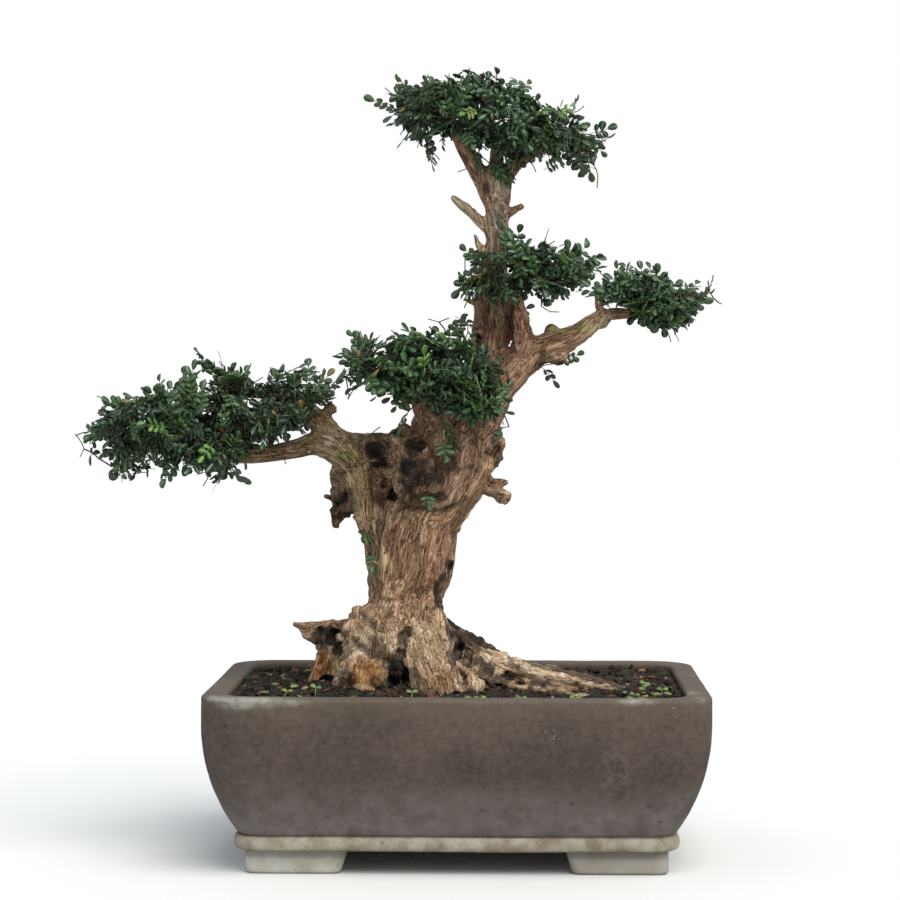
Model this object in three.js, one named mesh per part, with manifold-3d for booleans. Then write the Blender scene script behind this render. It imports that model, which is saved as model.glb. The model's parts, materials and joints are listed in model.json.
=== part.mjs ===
// A Chinese pepper bonsai in its rectangular ceramic pot.
// Millimetres, +Z up. Everything is placed from the middle of the pot's footprint, on the
// surface that it stands on. The finished group is then moved sideways, so that its origin
// is under the middle of its outer box.
import * as THREE from "three";
import { mergeVertices } from "three/addons/utils/BufferGeometryUtils.js";
import Module from "manifold-3d";

const wasm = await Module();
wasm.setup();

const up = new THREE.Vector3(0, 0, 1);
const clearance = 0.35; // gap between pieces that touch
const sliver = 0.12; // finest detail that a joined solid keeps

// Pot: a lip, an upright band, walls that curve in on an arc, a belt and four feet
const pot = {
  length: 510,
  depth: 370,
  height: 180,
  cornerRadius: 46,
  lipWidth: 25,
  lipRound: 4,
  wallThickness: 18,
  wallArc: 193.5,
  arcTop: 150,
  beltTop: 38.6,
  beltOut: 4.5,
  footHeight: 24,
  floorTop: 41,
  cornerSteps: 4,
};
const foot = { length: 103, depth: 80, inset: 43, taper: 7, cornerRadius: 9, cornerSteps: 2 };
const drain = { radius: 14, spread: 120, sides: 16 };
const mesh = { size: 44, thickness: 1, holes: 3, bar: 2 };

// Soil: its edge lies under the lip, and it rises in a low mound around the trunk
const soil = {
  edgeDrop: 9,
  mound: 13,
  moundReach: 130,
  moundX: -50,
  moundY: -10,
  ripple: 1.6,
  rings: 3,
};

// Leaves: odd-pinnate, with obovate leaflets on a winged rib, larger than life
const leaf = {
  stalk: 14,
  leafletPairs: 2,
  pairPitch: 13,
  leafletLength: 19,
  leafletWidth: 14,
  lean: 0.45, // how far a leaflet leans towards the tip
  ribWidth: 3.2,
  thickness: 0.9,
  arch: 0.004,
  fold: 0.15,
  sunk: 13, // length of stalk inside the core
  attempts: 10, // turns tried until a leaf is clear of its neighbours
};

// A foliage pad's rough core lies inside the outline that its leaves reach
const pad = { coreShare: 0.64, coreRoughness: 0.16 };

// Repeatable random numbers from 0 to 1
function seeded(seed) {
  let state = seed;
  return () => {
    state = (state + 0x6d2b79f5) | 0;
    let mixed = Math.imul(state ^ (state >>> 15), 1 | state);
    mixed = (mixed + Math.imul(mixed ^ (mixed >>> 7), 61 | mixed)) ^ mixed;
    return ((mixed ^ (mixed >>> 14)) >>> 0) / 4294967296;
  };
}

// A geometry with nothing but its positions and faces
function bareGeometry(geometry) {
  const bare = new THREE.BufferGeometry();
  bare.setAttribute("position", geometry.getAttribute("position"));
  if (geometry.index) bare.setIndex(geometry.index);
  return bare;
}

// Geometry to solid and back
function solidOf(geometry) {
  const merged = mergeVertices(bareGeometry(geometry), 1e-4);
  return new wasm.Manifold(
    new wasm.Mesh({
      numProp: 3,
      vertProperties: new Float32Array(merged.attributes.position.array),
      triVerts: new Uint32Array(merged.index.array),
    }),
  );
}

function geometryOf(solid) {
  const shape = solid.getMesh();
  const geometry = new THREE.BufferGeometry();
  geometry.setAttribute("position", new THREE.BufferAttribute(shape.vertProperties, 3));
  geometry.setIndex(new THREE.BufferAttribute(shape.triVerts, 1));
  return geometry;
}

function joined(solids) {
  return wasm.Manifold.union(solids);
}

// The largest body of a solid, without loose scraps and slivers
function mainBody(solid) {
  const bodies = solid.asOriginal().simplify(sliver).decompose();
  return bodies.sort((a, b) => b.volume() - a.volume())[0];
}

function eachVertex(geometry, change) {
  const position = geometry.getAttribute("position");
  const vertex = new THREE.Vector3();
  for (let i = 0; i < position.count; i++) {
    change(vertex.fromBufferAttribute(position, i));
    position.setXYZ(i, vertex.x, vertex.y, vertex.z);
  }
  return geometry;
}

// A closed skin over rings of points, each ring anticlockwise seen from the far end
function loft(rings, startTip, endTip) {
  const count = rings[0].length;
  const points = [...rings.flat(), startTip, endTip];
  const start = points.length - 2;
  const end = points.length - 1;
  const lastRing = (rings.length - 1) * count;
  const faces = [];
  for (let i = 0; i < count; i++) {
    const next = (i + 1) % count;
    faces.push(start, next, i, end, lastRing + i, lastRing + next);
    for (let low = 0; low < lastRing; low += count) {
      faces.push(low + i, low + next, low + count + next);
      faces.push(low + i, low + count + next, low + count + i);
    }
  }
  const geometry = new THREE.BufferGeometry().setFromPoints(points);
  geometry.setIndex(faces);
  return geometry;
}

// A rounded rectangle at height z, anticlockwise seen from above
function roundedRing({ x = 0, y = 0, z, halfX, halfY, radius, steps }) {
  const ring = [];
  for (let corner = 0; corner < 4; corner++) {
    const sideX = corner === 0 || corner === 3 ? 1 : -1;
    const sideY = corner < 2 ? 1 : -1;
    for (let step = 0; step <= steps; step++) {
      const angle = (corner + step / steps) * (Math.PI / 2);
      ring.push(
        new THREE.Vector3(
          x + sideX * (halfX - radius) + radius * Math.cos(angle),
          y + sideY * (halfY - radius) + radius * Math.sin(angle),
          z,
        ),
      );
    }
  }
  return ring;
}

function middleOf(ring) {
  return new THREE.Vector3().addVectors(ring[0], ring[ring.length / 2]).multiplyScalar(0.5);
}

// How far the pot's outer wall lies inside its lip at height z
function wallInset(z) {
  const below = Math.max(0, pot.arcTop - z);
  return pot.wallArc - Math.sqrt(pot.wallArc ** 2 - below ** 2);
}

// How far the inner wall lies inside the lip's outer edge
function innerInset(z) {
  const under = THREE.MathUtils.smoothstep(pot.height - z, pot.lipRound, pot.height - pot.arcTop);
  return wallInset(z) + THREE.MathUtils.lerp(pot.lipWidth, pot.wallThickness, under);
}

function potRing(inset, z) {
  return roundedRing({
    z,
    halfX: pot.length / 2 - inset,
    halfY: pot.depth / 2 - inset,
    radius: pot.cornerRadius - inset / 2,
    steps: pot.cornerSteps,
  });
}

function makePot() {
  const rings = [];
  const beltMiddle = (pot.footHeight + pot.beltTop) / 2;
  const beltHalf = (pot.beltTop - pot.footHeight) / 2;
  for (let step = 0; step <= 4; step++) {
    const angle = (step / 4 - 0.5) * Math.PI;
    const inset = wallInset(pot.beltTop) - pot.beltOut * Math.cos(angle);
    rings.push(potRing(inset, beltMiddle + beltHalf * Math.sin(angle)));
  }
  for (const z of [60, 85, 115, pot.arcTop]) rings.push(potRing(wallInset(z), z));
  for (let step = 0; step <= 2; step++) {
    const angle = (step / 2) * (Math.PI / 2);
    const edge = pot.lipRound * (1 - Math.cos(angle));
    rings.push(potRing(edge, pot.height - pot.lipRound * (1 - Math.sin(angle))));
  }
  rings.push(potRing(pot.lipWidth - pot.lipRound / 2, pot.height));
  for (const z of [pot.height - pot.lipRound / 2, pot.arcTop, 110, pot.floorTop]) {
    rings.push(potRing(innerInset(z), z));
  }
  const body = solidOf(loft(rings, middleOf(rings[0]), middleOf(rings.at(-1))));
  const holes = [-1, 1].map((side) => {
    const hole = new THREE.CylinderGeometry(drain.radius, drain.radius, pot.floorTop, drain.sides);
    hole.rotateX(Math.PI / 2).translate(side * drain.spread, 0, pot.floorTop * 0.8);
    return solidOf(hole);
  });
  return joined([body, ...makeFeet()]).subtract(joined(holes));
}

function makeFeet() {
  const levels = [
    { z: 0, shrink: 2.5 },
    { z: 2.5, shrink: 0 },
    { z: pot.footHeight + 3, shrink: 0 },
  ];
  const feet = [];
  for (const sideX of [-1, 1]) {
    for (const sideY of [-1, 1]) {
      const rings = levels.map(({ z, shrink }) => {
        const taper = foot.taper * (1 - z / pot.footHeight);
        const length = foot.length - taper;
        return roundedRing({
          x: sideX * (pot.length / 2 - foot.inset - length / 2),
          y: sideY * (pot.depth / 2 - foot.inset - foot.depth / 2),
          z,
          halfX: length / 2 - shrink,
          halfY: foot.depth / 2 - shrink,
          radius: foot.cornerRadius,
          steps: foot.cornerSteps,
        });
      });
      feet.push(solidOf(loft(rings, middleOf(rings[0]), middleOf(rings.at(-1)))));
    }
  }
  return feet;
}

// A square of plastic mesh that lies on the pot's floor over a drain hole
function makeDrainMesh(side) {
  const pitch = (mesh.size - mesh.bar) / mesh.holes;
  const open = pitch - mesh.bar;
  const holes = [];
  for (let column = 0; column < mesh.holes; column++) {
    for (let row = 0; row < mesh.holes; row++) {
      const hole = new THREE.BoxGeometry(open, open, 3 * mesh.thickness);
      const fromMiddle = (place) => (place - (mesh.holes - 1) / 2) * pitch;
      holes.push(solidOf(hole.translate(fromMiddle(column), fromMiddle(row), 0)));
    }
  }
  const plate = solidOf(new THREE.BoxGeometry(mesh.size, mesh.size, mesh.thickness));
  const height = pot.floorTop + clearance + mesh.thickness / 2;
  return plate.subtract(joined(holes)).translate([side * drain.spread, 0, height]);
}

function soilHeight(x, y) {
  const away = Math.hypot(x - soil.moundX, (y - soil.moundY) * 1.3) / soil.moundReach;
  const ripple = Math.sin(x * 0.09 + 1) * Math.cos(y * 0.11 - 0.5);
  return pot.height - soil.edgeDrop + soil.mound * Math.exp(-away * away) + soil.ripple * ripple;
}

// The soil: the pot's inside, less the clearance, under a mounded top
function makeSoil(rootsWithClearance) {
  const bottom = pot.floorTop + clearance;
  const edge = pot.height - soil.edgeDrop;
  const inside = (z) => potRing(innerInset(z) + clearance, z);
  const rings = [bottom, 110, pot.arcTop].map(inside);
  const rim = inside(edge);
  for (let ring = 0; ring < soil.rings; ring++) {
    const share = 1 - ring / soil.rings;
    rings.push(
      rim.map(({ x, y }) => {
        const height = soilHeight(x * share, y * share);
        const z = THREE.MathUtils.lerp(edge, height, Math.min(1, ring));
        return new THREE.Vector3(x * share, y * share, z);
      }),
    );
  }
  const top = new THREE.Vector3(0, 0, soilHeight(0, 0));
  const filled = solidOf(loft(rings, middleOf(rings[0]), top));
  const pockets = [-1, 1].map((side) => {
    const size = mesh.size + 2 * clearance;
    const box = new THREE.BoxGeometry(size, size, 2 * (mesh.thickness + clearance));
    return solidOf(box.translate(side * drain.spread, 0, bottom));
  });
  return mainBody(filled.subtract(joined([...pockets, rootsWithClearance])));
}

// Limbs: points along the middle of each, as x, y, z and the radius there
const limbs = {
  trunk: {
    sides: 16,
    flutes: 5,
    points: [
      [-66, -6, 105, 50],
      [-66, -8, 150, 66],
      [-66, -8, 190, 68],
      [-63, -4, 220, 57],
      [-60, 0, 243, 45],
      [-60, 4, 268, 38],
      [-54, 2, 304, 42],
      [-43, 0, 346, 47],
      [-28, 0, 378, 51],
      [-15, 0, 410, 51],
      [-3, 2, 441, 43],
      [18, 5, 473, 33],
      [28, 5, 504, 24],
      [30, 6, 536, 18.5],
      [32, 8, 578, 17],
      [35, 8, 610, 15],
      [40, 8, 641, 12],
      [40, 8, 668, 12],
      [40, 8, 689, 15],
      [38, 8, 704, 15],
    ],
  },
  secondStem: {
    points: [
      [-78, -6, 300, 14],
      [-86, -7, 325, 15],
      [-95, -8, 352, 15],
      [-100, -8, 378, 15],
      [-106, -6, 400, 18],
      [-112, -5, 416, 19],
    ],
  },
  leftBranch: {
    points: [
      [-40, -5, 410, 30],
      [-62, -5, 414, 26],
      [-88, -5, 418, 21],
      [-112, -5, 420, 18],
      [-130, -5, 424, 18],
      [-148, -8, 428, 14],
      [-166, -12, 423, 11],
      [-197, -20, 417, 9],
      [-223, -28, 414, 7.5],
      [-253, -34, 416, 6],
      [-289, -38, 421, 4.5],
      [-325, -38, 427, 3.5],
    ],
  },
  leftUpper: {
    points: [
      [-128, -2, 428, 14],
      [-137, -1, 438, 14],
      [-149, 4, 452, 12.5],
      [-165, 10, 464, 9.5],
      [-180, 14, 474, 7.5],
      [-209, 18, 480, 6],
      [-244, 20, 478, 4.5],
      [-285, 14, 470, 3.5],
    ],
  },
  rightBranch: {
    points: [
      [22, 5, 470, 24],
      [38, 5, 488, 23],
      [59, 0, 508, 20],
      [80, 0, 524, 16],
      [101, 2, 532, 14],
      [122, 4, 540, 12],
      [143, 6, 556, 9],
      [161, 8, 564, 7],
      [180, 8, 563, 5.5],
      [208, 8, 567, 4.5],
      [235, 8, 573, 3.5],
    ],
  },
  middleBranch: {
    points: [
      [72, -2, 515, 13],
      [68, -6, 530, 11.5],
      [64, -10, 551, 10.5],
      [59, -14, 572, 9.5],
      [59, -18, 591, 7.5],
      [74, -22, 605, 5],
      [100, -24, 609, 3.5],
    ],
  },
  frontBranch: {
    points: [
      [-12, -15, 425, 18],
      [-21, -27, 439, 14],
      [-36, -40, 457, 10],
      [-41, -50, 478, 7.5],
      [-30, -58, 500, 5.5],
      [-6, -60, 512, 4],
    ],
  },
  apexLeft: {
    points: [
      [34, 8, 690, 12],
      [26, 8, 702, 11],
      [15, 4, 720, 9.5],
      [3, 0, 741, 8],
      [-7, -4, 760, 6],
      [-20, -8, 776, 4],
    ],
  },
  apexRight: {
    points: [
      [40, 8, 694, 12],
      [46, 8, 706, 10.5],
      [57, 10, 718, 7.5],
      [70, 12, 727, 5.5],
      [90, 14, 738, 4],
      [115, 12, 745, 3.5],
    ],
  },
  apexMiddle: {
    points: [
      [38, 10, 695, 11],
      [38, 13, 714, 9],
      [39, 16, 738, 6.5],
      [34, 18, 765, 4.5],
    ],
  },
  deadStubRight: {
    points: [
      [14, 0, 382, 14],
      [28, 0, 379, 8.5],
      [40, -2, 382, 6.5],
      [48, -2, 389, 4.5],
    ],
  },
  deadForkRight: {
    points: [
      [36, -2, 380, 5.5],
      [44, -3, 376, 5],
      [52, -4, 371, 4],
    ],
  },
  deadStubLeft: {
    points: [
      [34, 8, 652, 9],
      [27, 8, 657, 6.5],
      [17, 4, 665, 5.5],
      [6, 0, 675, 5],
      [-1, -2, 684, 4.5],
      [-8, -3, 687, 3],
    ],
  },
  deadStubTop: {
    points: [
      [44, 7, 670, 8],
      [50, 6, 670, 5.5],
      [57, 5, 674, 4],
      [65, 4, 677, 3.5],
    ],
  },
  deadStubLow: {
    points: [
      [34, 6, 616, 7],
      [27, 4, 626, 5],
      [21, 2, 635, 4],
      [16, 0, 645, 2.5],
    ],
  },
  uprightStub: {
    points: [
      [150, 8, 555, 7],
      [148, 8, 568, 5],
      [145, 8, 581, 4],
    ],
  },
  cutWoundStub: {
    points: [
      [-40, -10, 415, 20],
      [-44, -35, 420, 16],
      [-45, -64, 422, 14],
    ],
  },
  brokenTop: {
    points: [
      [15, 4, 410, 20],
      [30, 5, 421, 13],
      [42, 5, 431, 7],
    ],
  },
  burlTipUpper: {
    points: [
      [-122, 6, 366, 9],
      [-132, 8, 369, 5],
      [-141, 8, 371, 3],
    ],
  },
  burlTipLower: {
    points: [
      [-124, 6, 358, 9],
      [-129, 8, 349, 6],
      [-131, 8, 342, 4],
    ],
  },
  rootFront: {
    points: [
      [-45, -5, 262, 20],
      [-36, -20, 240, 24],
      [-30, -48, 212, 25],
      [-23, -72, 190, 26],
      [-17, -92, 165, 26],
      [-15, -100, 140, 22],
    ],
  },
  rootRight: {
    points: [
      [-45, 15, 262, 18],
      [-24, 20, 246, 17],
      [-6, 25, 223, 18],
      [22, 25, 202, 17],
      [48, 22, 190, 16],
      [75, 15, 183, 13.5],
      [106, 5, 178, 12],
      [137, -10, 173, 9],
      [163, -20, 168, 6],
      [186, -30, 164, 4],
    ],
  },
  rootRightFront: {
    points: [
      [-30, -5, 225, 18],
      [-8, -12, 205, 17],
      [17, -30, 188, 15],
      [43, -48, 177, 12],
      [74, -62, 170, 10],
      [100, -70, 162, 7],
    ],
  },
  rootLobe: {
    points: [
      [-72, -5, 262, 22],
      [-77, -20, 243, 25],
      [-83, -36, 222, 23],
      [-88, -45, 195, 22],
    ],
  },
  rootLeft: {
    points: [
      [-80, 2, 256, 20],
      [-92, 0, 240, 23],
      [-114, -10, 220, 21],
      [-120, -20, 190, 20],
      [-124, -26, 150, 20],
    ],
  },
  rootLeftStrip: {
    points: [
      [-120, -12, 228, 12],
      [-142, -15, 216, 10],
      [-150, -20, 196, 11],
      [-158, -26, 168, 12],
      [-166, -30, 145, 9],
    ],
  },
  deadPeg: {
    points: [
      [-108, -5, 226, 15],
      [-122, -6, 230, 14],
      [-140, -8, 232, 11],
      [-156, -8, 233, 8],
      [-172, -8, 238, 3.5],
    ],
  },
  rootBackLeft: {
    points: [
      [-80, 20, 250, 22],
      [-97, 32, 216, 23],
      [-130, 70, 184, 18],
      [-165, 105, 164, 11],
    ],
  },
  rootBackRight: {
    points: [
      [-48, 25, 245, 22],
      [-32, 42, 215, 21],
      [8, 85, 183, 16],
      [48, 118, 164, 10],
    ],
  },
};

// Burls and knobs, as x, y, z and half sizes
const knobs = [
  [-128, -5, 396, 12, 11, 13],
  [-120, 5, 366, 13, 12, 16],
  [-128, 8, 354, 8, 8, 8],
  [-136, -2, 464, 7, 7, 7],
  [104, -2, 517, 10, 9, 9],
  [97, 2, 545, 6, 6, 6],
  [45, -5, 672, 6, 6, 6],
  [-99, -66, 190, 21, 19, 20],
  [-119, -50, 176, 17, 15, 12],
  [16, -88, 176, 10, 9, 9],
  [85, -86, 176, 9, 9, 9],
  [-88, -30, 421, 13, 12, 13],
];

// Hollows: the cut wounds, the crotch under them and the clefts at the foot of the trunk
const hollows = [
  [-45, -80, 422, 9.5, 12, 9.5],
  [-88, -44, 421, 8.5, 9, 8.5],
  [-30, -56, 388, 22, 12, 15],
  [-61, -48, 358, 5, 12, 12],
  [-57, -72, 205, 8, 20, 20],
  [-144, -24, 233, 6, 7, 5],
];

function defaultSides(points) {
  const thickest = Math.max(...points.map(([, , , radius]) => radius));
  return thickest > 15 ? 7 : thickest > 9 ? 6 : 5;
}

// Rings round a limb's middle line, at equal steps along it
function limbGeometry({ points, sides = defaultSides(points), flutes = 0 }, grow) {
  const curve = new THREE.CatmullRomCurve3(points.map(([x, y, z]) => new THREE.Vector3(x, y, z)));
  const count = points.length;
  const frames = curve.computeFrenetFrames(count, false);
  const rings = [];
  for (let stop = 0; stop <= count; stop++) {
    const along = curve.getUtoTmapping(stop / count) * (points.length - 1);
    const before = Math.min(Math.floor(along), points.length - 2);
    const radius = THREE.MathUtils.lerp(points[before][3], points[before + 1][3], along - before);
    const centre = curve.getPointAt(stop / count);
    rings.push(
      Array.from({ length: sides }, (_, side) => {
        const angle = (side / sides) * 2 * Math.PI;
        const depth = 0.03 + 0.13 * (1 - stop / count) ** 4;
        const fluting = 1 + (flutes ? depth * Math.cos(flutes * angle + stop * 0.25) : 0);
        const gnarl = 1 + 0.05 * Math.sin(3 * angle + stop * 1.7);
        const reach = radius * fluting * gnarl + grow;
        return centre
          .clone()
          .addScaledVector(frames.normals[stop], reach * Math.cos(angle))
          .addScaledVector(frames.binormals[stop], reach * Math.sin(angle));
      }),
    );
  }
  const capRise = (radius) => radius * 0.35 + grow;
  const startTip = points[0];
  const endTip = points.at(-1);
  const start = curve.getPointAt(0).addScaledVector(frames.tangents[0], -capRise(startTip[3]));
  const end = curve.getPointAt(1).addScaledVector(frames.tangents[count], capRise(endTip[3]));
  return loft(rings, start, end);
}

// An ellipsoid whose surface is moved in and out by up to a share of its size
function lump([x, y, z, halfX, halfY, halfZ], { roughness = 0.05, grow = 0 } = {}) {
  const random = seeded(Math.round(x + y + z));
  const ball = mergeVertices(bareGeometry(new THREE.IcosahedronGeometry(1, halfX > 11 ? 1 : 0)), 1e-4);
  const halves = new THREE.Vector3(halfX + grow, halfY + grow, halfZ + grow);
  eachVertex(ball, (point) => {
    point.multiplyScalar(1 + roughness * (2 * random() - 1));
    point.multiply(halves).add(new THREE.Vector3(x, y, z));
  });
  return solidOf(ball);
}

// The whole tree without its leaves, its surface moved out by grow
function makeWood(grow = 0) {
  const shoots = Object.values(limbs).map((limb) => solidOf(limbGeometry(limb, grow)));
  const swellings = knobs.map((knob) => lump(knob, { grow }));
  const grown = joined([...shoots, ...swellings]);
  const cut = joined(hollows.map((hollow) => lump(hollow, { grow: -grow })));
  return mainBody(grown.subtract(cut));
}

// One compound leaf: x runs from the stalk's foot to the tip
function leafOutline() {
  const { leafletLength, leafletWidth, lean, pairPitch, ribWidth, stalk } = leaf;
  const side = [
    [0, ribWidth / 2],
    [stalk - pairPitch / 4, ribWidth / 2],
  ];
  for (let pair = 0; pair < leaf.leafletPairs; pair++) {
    const foot = stalk + pair * pairPitch;
    const place = (out, aside) => [
      foot + out * Math.sin(lean) - aside * Math.cos(lean),
      ribWidth / 2 + out * Math.cos(lean) + aside * Math.sin(lean),
    ];
    side.push(place(leafletLength * 0.6, leafletWidth * 0.5));
    side.push(place(leafletLength * 0.97, leafletWidth * 0.14));
    side.push(place(leafletLength * 0.66, -leafletWidth * 0.48));
    side.push([foot + pairPitch / 2, ribWidth / 2]);
  }
  const last = side.at(-1)[0];
  side.push([last + leafletLength * 0.62, leafletWidth / 2]);
  const mirrored = side.map(([x, y]) => [x, -y]).reverse();
  const outline = [...side, [last + leafletLength, 0], ...mirrored].reverse();
  return outline.map(([x, y]) => new THREE.Vector2(x, y));
}

function leafSolid(matrix, random) {
  const blade = new THREE.ExtrudeGeometry(new THREE.Shape(leafOutline()), {
    depth: leaf.thickness,
    bevelEnabled: false,
  });
  const arch = leaf.arch * (0.5 + random());
  eachVertex(blade, (point) => {
    point.z += leaf.fold * Math.abs(point.y) - arch * point.x ** 2;
  });
  return solidOf(blade.applyMatrix4(matrix));
}

// Foliage pads: lumps as x, y, z and half sizes, at the outline of the leaves
const pads = {
  foliage_apex: {
    leaves: 18,
    seed: 3,
    lumps: [
      [-38, -4, 772, 44, 52, 36],
      [4, 0, 778, 52, 62, 40],
      [52, 4, 768, 54, 62, 40],
      [106, 4, 744, 54, 56, 36],
    ],
  },
  foliage_middle: {
    leaves: 12,
    seed: 9,
    lumps: [
      [26, -34, 594, 32, 42, 30],
      [62, -36, 604, 46, 54, 38],
      [98, -30, 600, 44, 50, 38],
    ],
  },
  foliage_right: {
    leaves: 10,
    seed: 9,
    lumps: [
      [172, 10, 578, 30, 42, 28],
      [205, 10, 575, 40, 50, 36],
      [238, 10, 577, 32, 44, 30],
    ],
  },
  foliage_front: {
    leaves: 15,
    seed: 7,
    lumps: [
      [-70, -60, 498, 48, 50, 48],
      [-14, -64, 500, 54, 56, 48],
      [26, -52, 488, 36, 44, 42],
      [0, -72, 456, 38, 32, 26],
    ],
  },
  foliage_left: {
    leaves: 21,
    seed: 20,
    lumps: [
      [-362, -24, 438, 46, 52, 36],
      [-304, -18, 446, 54, 66, 46],
      [-252, -22, 442, 50, 66, 50],
      [-212, 6, 462, 50, 60, 44],
      [-172, 20, 482, 40, 48, 30],
    ],
  },
};

// Directions spread evenly over a ball
function spreadDirection(index, count) {
  const height = 1 - (2 * (index + 0.5)) / count;
  const turn = index * Math.PI * (3 - Math.sqrt(5));
  const across = Math.sqrt(1 - height * height);
  return new THREE.Vector3(across * Math.cos(turn), across * Math.sin(turn), height);
}

function insideLump(point, [x, y, z, halfX, halfY, halfZ], share) {
  const away = new THREE.Vector3(
    (point.x - x) / halfX,
    (point.y - y) / halfY,
    (point.z - z) / halfZ,
  );
  return away.length() < share;
}

function coreOf([x, y, z, ...halves]) {
  return [x, y, z, ...halves.map((half) => half * pad.coreShare)];
}

// Places for leaves, spread over the cores where they aren't buried in each other
function leafPlaces(lumps, leaves) {
  const perLump = Math.ceil((leaves / lumps.length) * 1.6);
  const places = [];
  for (const own of lumps) {
    const [x, y, z, ...halves] = coreOf(own);
    for (let index = 0; index < perLump; index++) {
      const outward = spreadDirection(index, perLump);
      const surface = new THREE.Vector3(...halves).multiply(outward).add(new THREE.Vector3(x, y, z));
      const buried = lumps.some((other) => other !== own && insideLump(surface, coreOf(other), 1.05));
      if (!buried && outward.z > -0.85) places.push({ surface, outward });
    }
  }
  return places.filter((_, index) => (index * leaves) % places.length < leaves);
}

// A frame with x along a leaf that leans out from the core, and z out of its upper face
function leafMatrix(surface, outward, random) {
  const sway = new THREE.Vector3(random() - 0.5, random() - 0.5, random() - 0.5);
  const aside = sway.addScaledVector(outward, -sway.dot(outward)).normalize();
  const along = aside.addScaledVector(outward, 0.5 + 0.8 * random() ** 2).normalize();
  const facing = outward.clone().addScaledVector(up, 0.3);
  facing.addScaledVector(along, -facing.dot(along)).normalize();
  const across = new THREE.Vector3().crossVectors(facing, along);
  const foot = surface.clone().addScaledVector(along, -leaf.sunk);
  return new THREE.Matrix4().makeBasis(along, across, facing).setPosition(foot);
}

// A pad's leaves grow out of its core, each clear of the others where it can be
function makePad({ lumps, leaves, seed }, woodWithClearance) {
  const random = seeded(seed);
  const core = lumps.map((own) => lump(coreOf(own), { roughness: pad.coreRoughness }));
  const blades = [];
  for (const { surface, outward } of leafPlaces(lumps, leaves)) {
    for (let attempt = 0; attempt < leaf.attempts; attempt++) {
      const blade = leafSolid(leafMatrix(surface, outward, random), random);
      if (blades.some((other) => !other.intersect(blade).isEmpty())) continue;
      blades.push(blade);
      break;
    }
  }
  return mainBody(joined([...core, ...blades]).subtract(woodWithClearance));
}

const finishes = {
  pot: { color: 0x5e554c, roughness: 0.82 },
  soil: { color: 0x2b221c, roughness: 0.95 },
  wood: { color: 0x8a7159, roughness: 0.85 },
  drainMesh: { color: 0x24272a, roughness: 0.6 },
  foliage: { color: 0x25482f, roughness: 0.45 },
};

const bonsai = new THREE.Group();

function add(name, solid, finish) {
  const material = new THREE.MeshStandardMaterial({ ...finishes[finish], metalness: 0 });
  const piece = new THREE.Mesh(geometryOf(solid), material);
  piece.name = name;
  bonsai.add(piece);
}

const wood = makeWood();
const woodWithClearance = makeWood(clearance);

add("pot", makePot(), "pot");
add("soil", makeSoil(woodWithClearance), "soil");
add("wood", wood, "wood");
add("drain_mesh_left", makeDrainMesh(-1), "drainMesh");
add("drain_mesh_right", makeDrainMesh(1), "drainMesh");
for (const [name, pad] of Object.entries(pads)) {
  add(name, makePad(pad, woodWithClearance), "foliage");
}

const outerBox = new THREE.Box3().setFromObject(bonsai);
const middle = outerBox.getCenter(new THREE.Vector3());
bonsai.position.set(-middle.x, -middle.y, -outerBox.min.z);

export default bonsai;
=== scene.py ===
import itertools
import json
import math

import bpy
import numpy as np
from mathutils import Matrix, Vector

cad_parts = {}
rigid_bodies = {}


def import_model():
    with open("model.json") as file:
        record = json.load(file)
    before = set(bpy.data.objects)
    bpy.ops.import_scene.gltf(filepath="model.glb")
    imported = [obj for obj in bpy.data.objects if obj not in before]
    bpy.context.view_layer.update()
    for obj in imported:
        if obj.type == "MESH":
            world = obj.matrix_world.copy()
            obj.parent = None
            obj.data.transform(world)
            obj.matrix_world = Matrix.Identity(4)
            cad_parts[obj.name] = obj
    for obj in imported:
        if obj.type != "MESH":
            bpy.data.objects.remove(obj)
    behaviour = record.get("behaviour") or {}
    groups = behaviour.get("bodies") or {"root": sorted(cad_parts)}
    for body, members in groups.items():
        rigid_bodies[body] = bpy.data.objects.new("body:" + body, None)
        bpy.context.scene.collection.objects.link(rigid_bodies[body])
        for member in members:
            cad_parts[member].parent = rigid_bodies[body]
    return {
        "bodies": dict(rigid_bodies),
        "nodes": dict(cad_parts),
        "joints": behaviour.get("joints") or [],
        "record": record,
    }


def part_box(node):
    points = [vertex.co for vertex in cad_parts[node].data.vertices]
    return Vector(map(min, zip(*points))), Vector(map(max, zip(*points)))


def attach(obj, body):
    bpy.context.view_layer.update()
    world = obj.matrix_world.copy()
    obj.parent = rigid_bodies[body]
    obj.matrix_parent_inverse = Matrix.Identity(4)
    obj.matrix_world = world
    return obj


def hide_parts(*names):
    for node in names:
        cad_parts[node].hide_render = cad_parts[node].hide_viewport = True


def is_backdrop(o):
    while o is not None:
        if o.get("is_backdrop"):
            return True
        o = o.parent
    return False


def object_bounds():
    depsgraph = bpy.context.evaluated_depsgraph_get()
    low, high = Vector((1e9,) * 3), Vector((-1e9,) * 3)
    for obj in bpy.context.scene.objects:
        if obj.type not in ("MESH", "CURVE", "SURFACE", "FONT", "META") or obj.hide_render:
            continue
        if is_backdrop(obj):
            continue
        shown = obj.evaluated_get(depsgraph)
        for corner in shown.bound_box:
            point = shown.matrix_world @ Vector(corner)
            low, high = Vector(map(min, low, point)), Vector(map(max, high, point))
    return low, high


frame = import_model()
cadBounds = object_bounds()
potLow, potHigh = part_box("pot")
potMiddle = np.array([(potLow.x + potHigh.x) / 2, (potLow.y + potHigh.y) / 2, potLow.z])
mm = 0.001
up = np.array([0.0, 0.0, 1.0])
boxLow, boxHigh = ((np.array(corner) - potMiddle) / mm for corner in cadBounds)


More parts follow.
